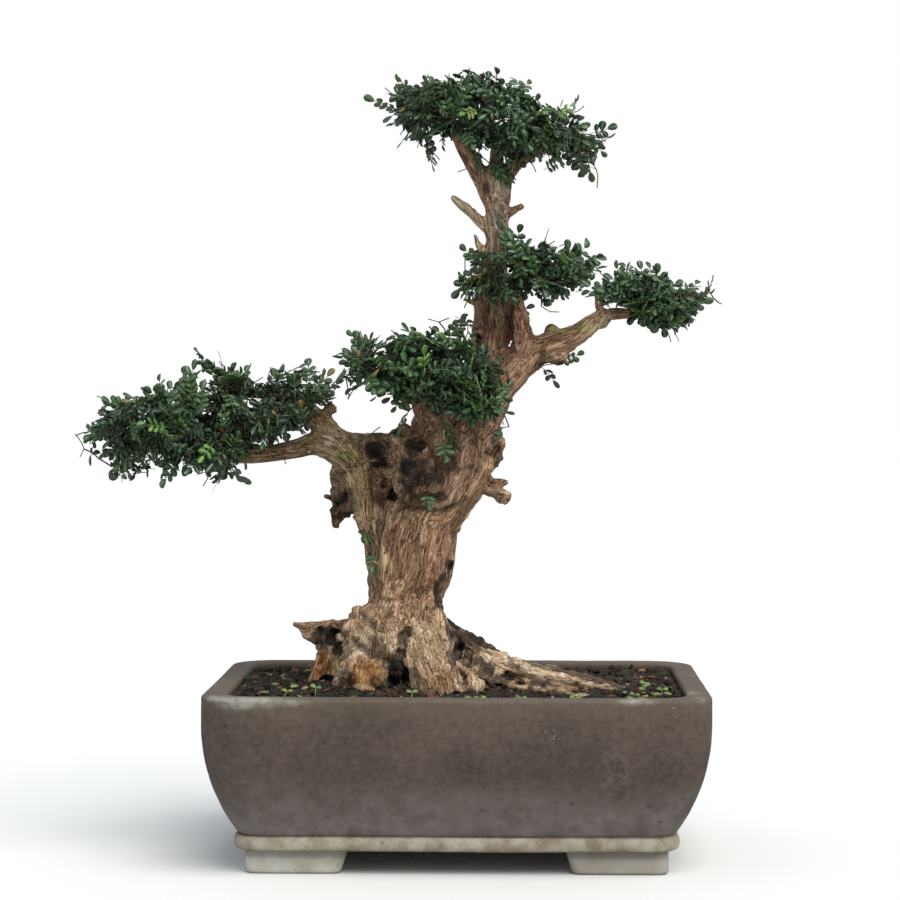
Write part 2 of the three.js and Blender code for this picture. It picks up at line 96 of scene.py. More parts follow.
# Camera
camera = {
    "picture": 900,  # pixels along each side
    "focal": 2554,  # pixels
    "place": (55.6, -2680, 487),
    "turn": 1.395,  # degrees to the left of straight ahead
    "pitch": 1.42,  # degrees down
    "sensor": 36,
}


def makeCamera():
    data = bpy.data.cameras.new("camera")
    data.sensor_width = camera["sensor"]
    data.lens = camera["focal"] / camera["picture"] * camera["sensor"]
    data.clip_end = 60
    holder = bpy.data.objects.new("camera", data)
    holder.location = Vector(potMiddle + np.array(camera["place"]) * mm)
    holder.rotation_euler = (math.radians(90 - camera["pitch"]), 0, math.radians(camera["turn"]))
    bpy.context.scene.collection.objects.link(holder)
    bpy.context.scene.camera = holder


def cameraAxes():
    turn, pitch = math.radians(camera["turn"]), math.radians(camera["pitch"])
    right = np.array([math.cos(turn), math.sin(turn), 0])
    level = np.array([-math.sin(turn), math.cos(turn), 0])
    ahead = level * math.cos(pitch) - up * math.sin(pitch)
    return right, ahead, np.cross(right, ahead)


def pixelsOf(points):
    # where points show in the picture, as columns u from the left and v from the top
    right, ahead, above = cameraAxes()
    away = points - np.array(camera["place"])
    scale = camera["focal"] / (away @ ahead)
    half = camera["picture"] / 2
    return np.stack([half + (away @ right) * scale, half - (away @ above) * scale], axis=-1)


def placeAt(u, v, depth):
    # the place at pixel u, v whose y is depth
    right, ahead, above = cameraAxes()
    half = camera["picture"] / 2
    ray = ahead + right * (u - half) / camera["focal"] + above * (half - v) / camera["focal"]
    start = np.array(camera["place"], float)
    return start + ray * (depth - start[1]) / ray[1]


makeCamera()
print("camera placed")


# Working with points
def unit(vectors):
    return vectors / np.maximum(np.linalg.norm(vectors, axis=-1, keepdims=True), 1e-9)


def squared(vector, axis):
    # the part of a vector that stands square to the axis, at length 1
    return unit(vector - axis * vector.dot(axis))


def smoothStep(low, high, values):
    share = np.clip((values - low) / (high - low), 0, 1)
    return share * share * (3 - 2 * share)


axisPrimes = (73856093, 19349663, 83492791)
seedPrime = 2654435761
lastPrime = 1274126177


def cornerValues(corners, seed):
    # one repeatable number from 0 to 1 for each corner of a grid
    x, y, z = (corners[:, axis].astype(np.int64) * prime for axis, prime in enumerate(axisPrimes))
    mixed = x ^ y ^ z ^ (seed * seedPrime)
    mixed = (mixed ^ (mixed >> 13)) * lastPrime
    return ((mixed ^ (mixed >> 16)) & 0xFFFF) / 0xFFFF


def noise(points, size, seed):
    # smooth lumps about size mm wide, from -1 to 1
    scaled = points / size + 0.37 * seed
    cell = np.floor(scaled)
    share = scaled - cell
    share = share * share * (3 - 2 * share)
    total = np.zeros(len(points))
    for corner in itertools.product((0, 1), repeat=3):
        corner = np.array(corner)
        weight = np.prod(np.where(corner, share, 1 - share), axis=1)
        total += weight * cornerValues(cell + corner, seed)
    return 2 * total - 1


def layered(points, size, seed, layers=3):
    return sum(noise(points, size / 2**layer, seed + layer) / 2**layer for layer in range(layers))


def streaks(points, heading, size, reach, seed):
    # noise drawn out along the heading, with a spread of 1
    steps = int(np.ceil(reach / size)) + 1
    total = np.zeros(len(points))
    for step in range(-steps, steps + 1):
        total += noise(points + heading * (reach * step / steps), size, seed)
    return total / total.std()


def surfaceNormals(points, faces):
    across = points[faces[:, 2]] - points[faces[:, 0]]
    along = points[faces[:, -1]] - points[faces[:, 1]]
    facing = np.cross(across, along)
    normals = np.zeros_like(points)
    for corner, axis in itertools.product(range(faces.shape[1]), range(3)):
        normals[:, axis] += np.bincount(faces[:, corner], facing[:, axis], len(points))
    return unit(normals)


def smoothPath(points, step):
    # a smooth line through points of any width, with a point about every step mm
    points = np.array(points, float)
    padded = np.vstack([2 * points[0] - points[1], points, 2 * points[-1] - points[-2]])
    made = []
    for a, b, c, d in zip(padded, padded[1:], padded[2:], padded[3:]):
        count = max(1, round(np.linalg.norm((c - b)[:3]) / step))
        t = (np.arange(count) / count)[:, None]
        curve = 2 * b + (c - a) * t + (2 * a - 5 * b + 4 * c - d) * t**2
        made.append((curve + (3 * b - a - 3 * c + d) * t**3) / 2)
    return np.vstack([*made, points[-1:]])


def bandFaces(count, rings):
    # four-sided faces between rings of so many points each
    side = np.arange(count)
    following = (side + 1) % count
    lows = np.arange(rings - 1)[:, None] * count
    corners = (side, following, count + following, count + side)
    return np.stack([lows + corner for corner in corners], -1).reshape(-1, 4)


def tube(path, radii, sides, squash=1.0):
    # a closed tube of four-sided faces, with an even number of sides
    tangents = unit(np.gradient(path, axis=0))
    guide = np.cross(tangents[0], up if abs(tangents[0][2]) < 0.9 else np.array([1.0, 0, 0]))
    across = []
    for tangent in tangents:
        guide = squared(guide, tangent)
        across.append(guide)
    across = np.array(across)[:, None]
    other = np.cross(tangents[:, None], across)
    angles = (np.arange(sides) * 2 * np.pi / sides)[None, :, None]
    ring = np.cos(angles) * across + squash * np.sin(angles) * other
    points = (path[:, None] + np.asarray(radii)[:, None, None] * ring).reshape(-1, 3)
    last = (len(path) - 1) * sides
    cap = np.array([[-j % sides, j + 1, j + 2, (-j - 1) % sides] for j in range(sides // 2 - 1)])
    return points, np.vstack([bandFaces(sides, len(path)), cap[:, ::-1], cap + last])


def gathered(shapes):
    # several shapes of points and faces as one
    points, faces, first = [], [], 0
    for shapePoints, shapeFaces in shapes:
        points.append(shapePoints)
        faces.append(shapeFaces + first)
        first += len(shapePoints)
    return np.vstack(points), np.vstack(faces)


def fillMesh(mesh, points, faceLists):
    corners = np.concatenate([faces.ravel() for faces in faceLists])
    sizes = np.concatenate([np.full(len(faces), faces.shape[1]) for faces in faceLists])
    mesh.vertices.add(len(points))
    mesh.vertices.foreach_set("co", points.astype(np.float32).ravel())
    mesh.loops.add(len(corners))
    mesh.loops.foreach_set("vertex_index", corners.astype(np.int32))
    mesh.polygons.add(len(sizes))
    mesh.polygons.foreach_set("loop_start", (np.cumsum(sizes) - sizes).astype(np.int32))
    mesh.update(calc_edges=True)


def makePiece(name, parts, replaced=()):
    # a part has points, a list of face tables, a material, and values with a number or vector a point
    mesh = bpy.data.meshes.new(name)
    points = np.vstack([part["points"] for part in parts])
    firsts = np.cumsum([0] + [len(part["points"]) for part in parts])
    materials = list(dict.fromkeys(part["material"] for part in parts))
    faceLists, looks = [], []
    for part, first in zip(parts, firsts):
        for faces in part["faces"]:
            faceLists.append(faces + first)
            looks.append(np.full(len(faces), materials.index(part["material"])))
    fillMesh(mesh, points * mm + potMiddle, faceLists)
    for material in materials:
        mesh.materials.append(material)
    mesh.polygons.foreach_set("material_index", np.concatenate(looks).astype(np.int32))
    for key in dict.fromkeys(key for part in parts for key in part.get("values", {})):
        having = [(first, part) for part, first in zip(parts, firsts) if key in part.get("values", {})]
        given = [(first, part["values"][key]) for first, part in having]
        isVector = np.ndim(given[0][1]) == 2
        whole = np.zeros((len(points), 3) if isVector else len(points))
        for first, values in given:
            whole[first:first + len(values)] = values
        kind, field = ("FLOAT_VECTOR", "vector") if isVector else ("FLOAT", "value")
        attribute = mesh.attributes.new(key, kind, "POINT")
        attribute.data.foreach_set(field, whole.astype(np.float32).ravel())
    mesh.shade_smooth()
    piece = bpy.data.objects.new(name, mesh)
    bpy.context.scene.collection.objects.link(piece)
    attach(piece, "root")
    if replaced:
        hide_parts(*replaced)
    print(name, sum(len(faces) * (faces.shape[1] - 2) for faces in faceLists), "triangles")


# Materials: small helpers, then the shared effects
def srgb(red, green, blue):
    # a colour given as 0 to 255 on screen, as the shader wants it
    def linear(value):
        value = value / 255
        return value / 12.92 if value <= 0.04045 else ((value + 0.055) / 1.055) ** 2.4
    return (linear(red), linear(green), linear(blue), 1)


class Board:
    # a node tree, with short ways to add nodes and join them
    def __init__(self, tree):
        self.nodes = tree.nodes
        self.links = tree.links

    def add(self, kind, inputs=None, **settings):
        node = self.nodes.new(kind)
        for key, value in settings.items():
            setattr(node, key, value)
        for key, value in (inputs or {}).items():
            self.feed(node.inputs[key], value)
        return node

    def feed(self, socket, value):
        # a value, another node's output, or a screen colour of three numbers from 0 to 255
        if isinstance(value, bpy.types.NodeSocket):
            self.links.new(value, socket)
        elif socket.type == "RGBA" and len(value) == 3:
            socket.default_value = srgb(*value)
        else:
            socket.default_value = value

    def math(self, operation, *values):
        node = self.add("ShaderNodeMath", operation=operation)
        for socket, value in zip(node.inputs, values):
            self.feed(socket, value)
        return node.outputs[0]

    def plus(self, first, second):
        return self.math("ADD", first, second)

    def minus(self, first, second):
        return self.math("SUBTRACT", first, second)

    def times(self, first, second):
        return self.math("MULTIPLY", first, second)

    def vector(self, operation, first, second=None, scale=None):
        node = self.add("ShaderNodeVectorMath", operation=operation)
        self.feed(node.inputs[0], first)
        if second is not None:
            self.feed(node.inputs[1], second)
        if scale is not None:
            self.feed(node.inputs["Scale"], scale)
        return node.outputs["Value" if operation == "DOT_PRODUCT" else "Vector"]

    def mix(self, share, first, second, blend="MIX"):
        node = self.add("ShaderNodeMix", data_type="RGBA", blend_type=blend)
        colourA, colourB = [socket for socket in node.inputs if socket.type == "RGBA"]
        self.feed(node.inputs["Factor"], share)
        self.feed(colourA, first)
        self.feed(colourB, second)
        return [socket for socket in node.outputs if socket.type == "RGBA"][0]

    def spread(self, value, low, high, toLow=0.0, toHigh=1.0):
        node = self.add("ShaderNodeMapRange", interpolation_type="SMOOTHSTEP")
        for socket, number in zip(node.inputs, (value, low, high, toLow, toHigh)):
            self.feed(socket, number)
        return node.outputs[0]

    def noise(self, place, scale, detail=3.0, roughness=0.55):
        inputs = {"Vector": place, "Scale": scale, "Detail": detail, "Roughness": roughness}
        return self.add("ShaderNodeTexNoise", inputs).outputs["Fac"]

    def attribute(self, name, output="Fac"):
        return self.add("ShaderNodeAttribute", attribute_name=name).outputs[output]

    def place(self):
        return self.add("ShaderNodeTexCoord").outputs["Object"]

    def mottled(self, low, high, size, contrast):
        # a cloudy colour between two screen colours
        return self.group(mottling, Low=low, High=high, Size=size, Contrast=contrast)["Colour"]

    def group(self, tree, **inputs):
        node = self.add("ShaderNodeGroup", node_tree=tree)
        for key, value in inputs.items():
            self.feed(node.inputs[key], value)
        return node.outputs

    def layers(self, colour, *layers):
        # tones laid over a colour in turn, each by its share
        for share, tone in layers:
            colour = self.mix(share, colour, tone)
        return colour

    def finish(self, colour, roughness=None, height=None, distance=0.001, strength=1.0):
        # what the material's own shader shows
        shader = self.nodes["Principled BSDF"]
        self.feed(shader.inputs["Base Color"], colour)
        if roughness is not None:
            self.feed(shader.inputs["Roughness"], roughness)
        if height is not None:
            inputs = {"Height": height, "Distance": distance, "Strength": strength}
            self.feed(shader.inputs["Normal"], self.add("ShaderNodeBump", inputs).outputs["Normal"])


def newGroup(name, inputs, outputs):
    # inputs with their defaults, whose length tells what they are, and the names of the outputs
    kinds = {1: "NodeSocketFloat", 3: "NodeSocketVector", 4: "NodeSocketColor"}
    tree = bpy.data.node_groups.new(name, "ShaderNodeTree")
    for label, default in inputs.items():
        socket = tree.interface.new_socket(label, in_out="INPUT", socket_type=kinds[np.size(default)])
        socket.default_value = default
    for label in outputs:
        size = 4 if label == "Colour" else 1
        tree.interface.new_socket(label, in_out="OUTPUT", socket_type=kinds[size])
    board = Board(tree)
    board.inputs = board.add("NodeGroupInput").outputs
    board.outputs = board.add("NodeGroupOutput").inputs
    return tree, board


black = (0, 0, 0, 1)
white = (1, 1, 1, 1)


def makeMottling():
    # broad and fine cloudy patches between two colours
    inputs = {"Low": black, "High": white, "Size": 12.0, "Contrast": 0.25}
    tree, board = newGroup("mottling", inputs, ["Colour", "Mask"])
    given = board.inputs
    scale = board.math("DIVIDE", 1000.0, given["Size"])
    broad = board.noise(board.place(), scale, 4.0, 0.62)
    low = board.minus(0.5, given["Contrast"])
    high = board.plus(0.5, given["Contrast"])
    mask = board.spread(broad, low, high)
    board.feed(board.outputs["Mask"], mask)
    board.feed(board.outputs["Colour"], board.mix(mask, given["Low"], given["High"]))
    return tree


def makeGrainTones():
    # furrow, flank and ridge colours along a grain value from 0 to 1
    inputs = {"Grain": 0.5, "Furrow": black, "Flank": (0.2, 0.13, 0.08, 1), "Ridge": white}
    tree, board = newGroup("grainTones", inputs, ["Colour"])
    given = board.inputs
    lower = board.mix(board.spread(given["Grain"], 0.08, 0.5), given["Furrow"], given["Flank"])
    colour = board.mix(board.spread(given["Grain"], 0.5, 0.95), lower, given["Ridge"])
    board.feed(board.outputs["Colour"], colour)
    return tree


fibreSteps = 6  # samples to each side along the direction


def makeFibres():
    # noise drawn out along a direction, as a value and as thin lines between its plates
    inputs = {"Direction": (0, 0, 1), "Width": 1.5, "Line": 0.05}
    tree, board = newGroup("fibres", inputs, ["Value", "Lines"])
    given = board.inputs
    scale = board.math("DIVIDE", 1000.0, given["Width"])
    total = 0.0
    for step in range(-fibreSteps, fibreSteps + 1):
        length = board.times(given["Width"], 0.62 * step * mm)
        moved = board.vector("SCALE", given["Direction"], scale=length)
        sample = board.noise(board.vector("ADD", board.place(), moved), scale, 1.0, 0.5)
        total = board.plus(total, sample)
    average = board.math("DIVIDE", total, 2.0 * fibreSteps + 1)
    board.feed(board.outputs["Value"], board.spread(average, 0.42, 0.58))
    away = board.math("ABSOLUTE", board.minus(average, 0.5))
    board.feed(board.outputs["Lines"], board.spread(away, given["Line"], 0.0))
    return tree


def makePitting():
    # small round pits or specks, with ragged edges
    tree, board = newGroup("pitting", {"Spacing": 6.0, "Share": 0.2}, ["Mask"])
    given = board.inputs
    scale = board.math("DIVIDE", 1000.0, given["Spacing"])
    warp = board.noise(board.place(), board.times(scale, 2.0), 2.0)
    moved = board.vector("ADD", board.place(), board.vector("SCALE", (mm, mm, mm), scale=warp))
    cells = board.add("ShaderNodeTexVoronoi", {"Vector": moved, "Scale": scale})
    chosen = board.add("ShaderNodeSeparateColor", {"Color": cells.outputs["Color"]}).outputs[0]
    picked = board.math("LESS_THAN", chosen, given["Share"])
    spot = board.spread(cells.outputs["Distance"], 0.32, 0.12)
    board.feed(board.outputs["Mask"], board.times(picked, spot))
    return tree


def makeSettled():
    # what settles on faces that look up: dust, lime or moss
    tree, board = newGroup("settled", {"Amount": 0.5, "Size": 10.0}, ["Mask"])
    given = board.inputs
    normal = board.add("ShaderNodeNewGeometry").outputs["Normal"]
    facing = board.add("ShaderNodeSeparateXYZ", {"Vector": normal})
    scale = board.math("DIVIDE", 1000.0, given["Size"])
    patches = board.noise(board.place(), scale, 4.0, 0.65)
    raised = board.plus(facing.outputs["Z"], board.times(patches, 1.2))
    line = board.minus(1.9, board.times(given["Amount"], 1.2))
    board.feed(board.outputs["Mask"], board.spread(raised, line, board.plus(line, 0.25)))
    return tree


mottling = makeMottling()
grainTones = makeGrainTones()
fibres = makeFibres()
pitting = makePitting()
settled = makeSettled()


def newMaterial(name, colour, roughness):
    material = bpy.data.materials.new(name)
    material.use_nodes = True
    material.diffuse_color = srgb(*colour)
    board = Board(material.node_tree)
    board.feed(board.nodes["Principled BSDF"].inputs["Roughness"], roughness)
    return material, board


# Pot
pot = {
    "length": 510,
    "depth": 370,
    "height": 180,
    "cornerRadius": 46,
    "lipWidth": 25,
    "lipRound": 4,
    "wall": 18,
    "wallArc": 193.5,
    "arcTop": 150,
    "beltTop": 38.6,
    "beltOut": 4.5,
    "footHeight": 24,
    "floorTop": 41,
    "innerLevels": (130, 105, 80, 60),
    "innerHalf": (205, 135),  # no warp nearer to the middle than this
    "meshStep": 3.2,
    "warp": 0.5,
    "warpSize": 95,
    "footLength": 103,
    "footDepth": 80,
    "footInset": 43,
    "footTaper": 7,
    "footCorner": 9,
    # heights up a foot, and how far it is drawn in there
    "footLevels": ((0, 3.0), (0.7, 1.3), (2.2, 0.2), (4, 0), (9, 0), (14, 0), (19, 0), (27, 0)),
    "footCounts": (14, 10, 4),
    "specksDepth": -184,
    "scarDepth": -180,
}

# lime bloom on the clay, as pixel, depth of the surface there, reach in mm and strength
limeSpots = [
    (246, 701, -184, 46, 9, 0.95),
    (215, 695, -175, 22, 10, 0.85),
    (232, 684, -130, 14, 16, 0.5),
    (285, 703, -184, 30, 5, 0.6),
    (637, 701, -184, 22, 5, 0.8),
    (690, 687, -120, 16, 18, 0.65),
    (700, 694, -165, 14, 14, 0.5),
    (560, 699, -184, 60, 3, 0.35),
]

# specks and the scar on the front, as pixel and reach in mm
speckSpots = [(675, 708, 9), (551, 735, 8), (560, 738, 5)]
scarSpots = [(618, 770, 16), (625, 795, 14), (606, 785, 10)]


def wallInset(z):
    below = np.maximum(0, pot["arcTop"] - z)
    return pot["wallArc"] - np.sqrt(pot["wallArc"] ** 2 - below**2)


def innerInset(z):
    under = smoothStep(pot["lipRound"], pot["height"] - pot["arcTop"], pot["height"] - z)
    return wallInset(z) + pot["lipWidth"] + (pot["wall"] - pot["lipWidth"]) * under


def roundedRing(halfX, halfY, radius, z, counts, middle=(0, 0)):
    # anticlockwise seen from above; counts are faces along the length, the depth and a corner
    alongX, alongY, turnSteps = counts
    straightX, straightY = 2 * (halfX - radius), 2 * (halfY - radius)
    points = []
    for corner, (signX, signY) in enumerate([(1, 1), (-1, 1), (-1, -1), (1, -1)]):
        centre = np.array([signX * (halfX - radius), signY * (halfY - radius)])
        angles = (corner + np.arange(turnSteps) / turnSteps) * np.pi / 2
        points.append(centre + radius * np.stack([np.cos(angles), np.sin(angles)], 1))
        turned = (corner + 1) * np.pi / 2
        start = centre + radius * np.array([np.cos(turned), np.sin(turned)])
        runs = ((signX * straightX, 0), alongX), ((0, signY * straightY), alongY)
        run, steps = runs[corner % 2]
        points.append(start - (np.arange(steps) / steps)[:, None] * np.array(run))
    flat = np.vstack(points) + np.array(middle)
    return np.column_stack([flat, np.full(len(flat), z)])


def potCounts(step):
    straightX = pot["length"] - 2 * pot["cornerRadius"]
    straightY = pot["depth"] - 2 * pot["cornerRadius"]
    corner = pot["cornerRadius"] * np.pi / 2
    return [round(length / step) for length in (straightX, straightY, corner)]


def potRing(inset, z, counts):
    halfX, halfY = pot["length"] / 2 - inset, pot["depth"] / 2 - inset
    return roundedRing(halfX, halfY, pot["cornerRadius"] - inset / 2, z, counts)


def skinned(rings):
    return np.vstack(rings), bandFaces(len(rings[0]), len(rings))


def closedEnd(ring, steps):
    # a flat end: rings that shrink to the middle of the shape
    middle = ring.mean(axis=0)
    return [middle + (ring - middle) * share for share in np.linspace(1, 0.004, steps + 1)[1:]]


def potProfile():
    # inset and height up the outside from the foot of the belt, over the lip and down the inside
    step, top, lip, belt = pot["meshStep"], pot["height"], pot["lipRound"], pot["beltTop"]
    beltMiddle, beltHalf = (pot["footHeight"] + belt) / 2, (belt - pot["footHeight"]) / 2
    profile = []
    for angle in np.linspace(-np.pi / 2, np.pi / 2, 13):
        out = pot["beltOut"] * np.cos(angle) ** 0.8
        profile.append((wallInset(belt) - out, beltMiddle + beltHalf * np.sin(angle)))
    profile.append((wallInset(belt) + 0.9, belt + 0.7))
    profile += [(wallInset(z), z) for z in np.arange(belt + 2.4, top - lip - 1, step)]
    for angle in np.linspace(0, np.pi / 2, 6):
        profile.append((lip * (1 - np.cos(angle)), top - lip * (1 - np.sin(angle))))
    for share in np.linspace(0, 1, 7)[1:-1]:
        profile.append((lip + share * (pot["lipWidth"] - 2 * lip), top))
    for angle in np.linspace(0, np.pi / 2, 5):
        profile.append((pot["lipWidth"] - lip + lip * np.sin(angle), top - lip * (1 - np.cos(angle))))
    upper = np.arange(top - lip - step, pot["arcTop"] - 4, -step)
    return profile + [(innerInset(z), z) for z in (*upper, *pot["innerLevels"], pot["floorTop"])]


def makeFoot(signX, signY, counts):
    rings = []
    for z, shrink in pot["footLevels"]:
        taper = pot["footTaper"] * (1 - z / pot["footHeight"])
        length = pot["footLength"] - taper
        middleX = signX * (pot["length"] / 2 - pot["footInset"] - length / 2)
        middleY = signY * (pot["depth"] / 2 - pot["footInset"] - pot["footDepth"] / 2)
        halfX, halfY = length / 2 - shrink, pot["footDepth"] / 2 - shrink
        rings.append(roundedRing(halfX, halfY, pot["footCorner"], z, counts, (middleX, middleY)))
    start = closedEnd(rings[0], 3)[::-1]
    end = closedEnd(rings[-1], 1)
    return skinned(start + rings + end)


def makePotMaterial():
    material, board = newMaterial("potClay", (92, 80, 73), 0.85)
    clay = board.mottled((70, 59, 51), (108, 94, 84), 80.0, 0.2)
    fine = board.mottled((68, 57, 50), (112, 98, 88), 6.0, 0.22)
    drawn = board.vector("MULTIPLY", board.place(), (0.05, 0.05, 1.0))
    lines = board.spread(board.noise(drawn, 520.0, 3.0, 0.6), 0.4, 0.68, 0.0, 0.2)
    sides = board.add("ShaderNodeSeparateXYZ", {"Vector": board.place()}).outputs
    cloudy = board.group(mottling, Size=26.0, Contrast=0.3)["Mask"]
    greyed = board.times(board.spread(sides["Z"], 0.112, 0.045), board.plus(0.2, board.times(cloudy, 0.9)))
    beltTone = board.mottled((142, 128, 106), (192, 186, 170), 20.0, 0.22)
    footTone = board.mottled((182, 174, 158), (226, 225, 216), 30.0, 0.28)
    feet = board.mix(board.spread(sides["X"], 0.0, 0.2, 0.0, 0.6), footTone, (158, 148, 134))
    ragged = board.group(mottling, Size=7.0, Contrast=0.35)["Mask"]
    lime = board.times(board.attribute("lime"), board.plus(0.45, ragged))
    specks = board.group(pitting, Spacing=2.6, Share=0.35)["Mask"]
    pits = board.group(pitting, Spacing=11.0, Share=0.06)["Mask"]
    scar = board.attribute("scar")
    colour = board.layers(
        board.mix(0.45, clay, fine),
        (lines, (66, 56, 50)),
        (greyed, (144, 134, 130)),
        # painted highlight: the upper wall and the lip made lighter towards the top, as lit from above
        (board.times(board.spread(sides["Z"], 0.150, 0.182), 0.35), (122, 110, 96)),
        (board.attribute("beltAndFeet"), board.mix(board.spread(sides["Z"], 0.025, 0.021), beltTone, feet)),
        # painted shade above the belt and over the feet
        (board.times(board.attribute("paintedJointShade"), 0.75), (84, 70, 66)),
        (board.spread(lime, 0.16, 1.0, 0.0, 0.7), (178, 180, 168)),
        (board.times(specks, board.attribute("specks")), (205, 196, 184)),
        (board.times(pits, 0.35), (45, 38, 35)),
        (board.times(scar, 0.55), board.mottled((62, 52, 46), (126, 110, 100), 9.0, 0.16)),
    )
    grit = board.noise(board.place(), 900.0, 3.0, 0.6)
    ridges = board.noise(board.place(), 260.0, 3.0, 0.6)
    relief = board.minus(board.times(grit, 0.3), pits)
    relief = board.plus(relief, board.times(board.times(ridges, scar), 6.0))
    board.finish(colour, board.spread(cloudy, 0, 1, 0.78, 0.9), relief, 0.0004, 0.7)
    return material


def spotMask(points, spots, depth, outer, inner):
    # 1 near the spots on the pot's front, fading between the two shares of their reach
    mask = np.zeros(len(points))
    for u, v, reach in spots:
        away = np.linalg.norm(points - placeAt(u, v, depth), axis=1)
        mask = np.maximum(mask, smoothStep(outer * reach, inner * reach, away))
    return mask


def potValues(points):
    # where the belt and feet, the painted shade above the belt and over the feet, the lime, the specks and
    # the scar are
    z = points[:, 2]
    # painted shade: a dark line where the wall meets the belt's top, and a band over the tops of the feet
    # under the pot
    paintedJointShade = smoothStep(1.6, 0.0, np.abs(z - pot["beltTop"] - 0.6)) * 0.9
    paintedJointShade += 0.8 * smoothStep(15, 22, z) * smoothStep(26, 23, z)
    lime = np.zeros(len(points))
    for u, v, depth, reachX, reachZ, strength in limeSpots:
        away = (points - placeAt(u, v, depth)) / np.array([reachX, 26, reachZ])
        lime = np.maximum(lime, strength * np.exp(-(away**2).sum(axis=1)))
    return {
        "beltAndFeet": smoothStep(pot["beltTop"] + 1.2, pot["beltTop"] - 0.6, z),
        "paintedJointShade": paintedJointShade,
        "lime": lime,
        "specks": spotMask(points, speckSpots, pot["specksDepth"], 1.4, 0.4),
        "scar": spotMask(points, scarSpots, pot["scarDepth"], 1.5, 0.3),
    }


def makePot():
    counts = potCounts(pot["meshStep"])
    coarse = [potRing(inset, z, counts) for inset, z in potProfile()]
    points, faces = skinned(closedEnd(coarse[0], 4)[::-1] + coarse + closedEnd(coarse[-1], 4))
    warp = pot["warp"] * noise(points, pot["warpSize"], 4)
    warp += 0.22 * noise(points * np.array([0.4, 0.4, 1]), 14, 5) + 0.12 * noise(points, 6, 6)
    warp *= ~(np.abs(points[:, :2]) < pot["innerHalf"]).all(axis=1)
    points = np.clip(points + surfaceNormals(points, faces) * warp[:, None], boxLow, boxHigh)
    feet = gathered([makeFoot(x, y, pot["footCounts"]) for x in (-1, 1) for y in (-1, 1)])
    material = makePotMaterial()
    parts = [
        {"points": points, "faces": [faces], "material": material, "values": potValues(points)}
        for points, faces in ((points, faces), feet)
    ]
    makePiece("potBody", parts, ["pot"])


makePot()


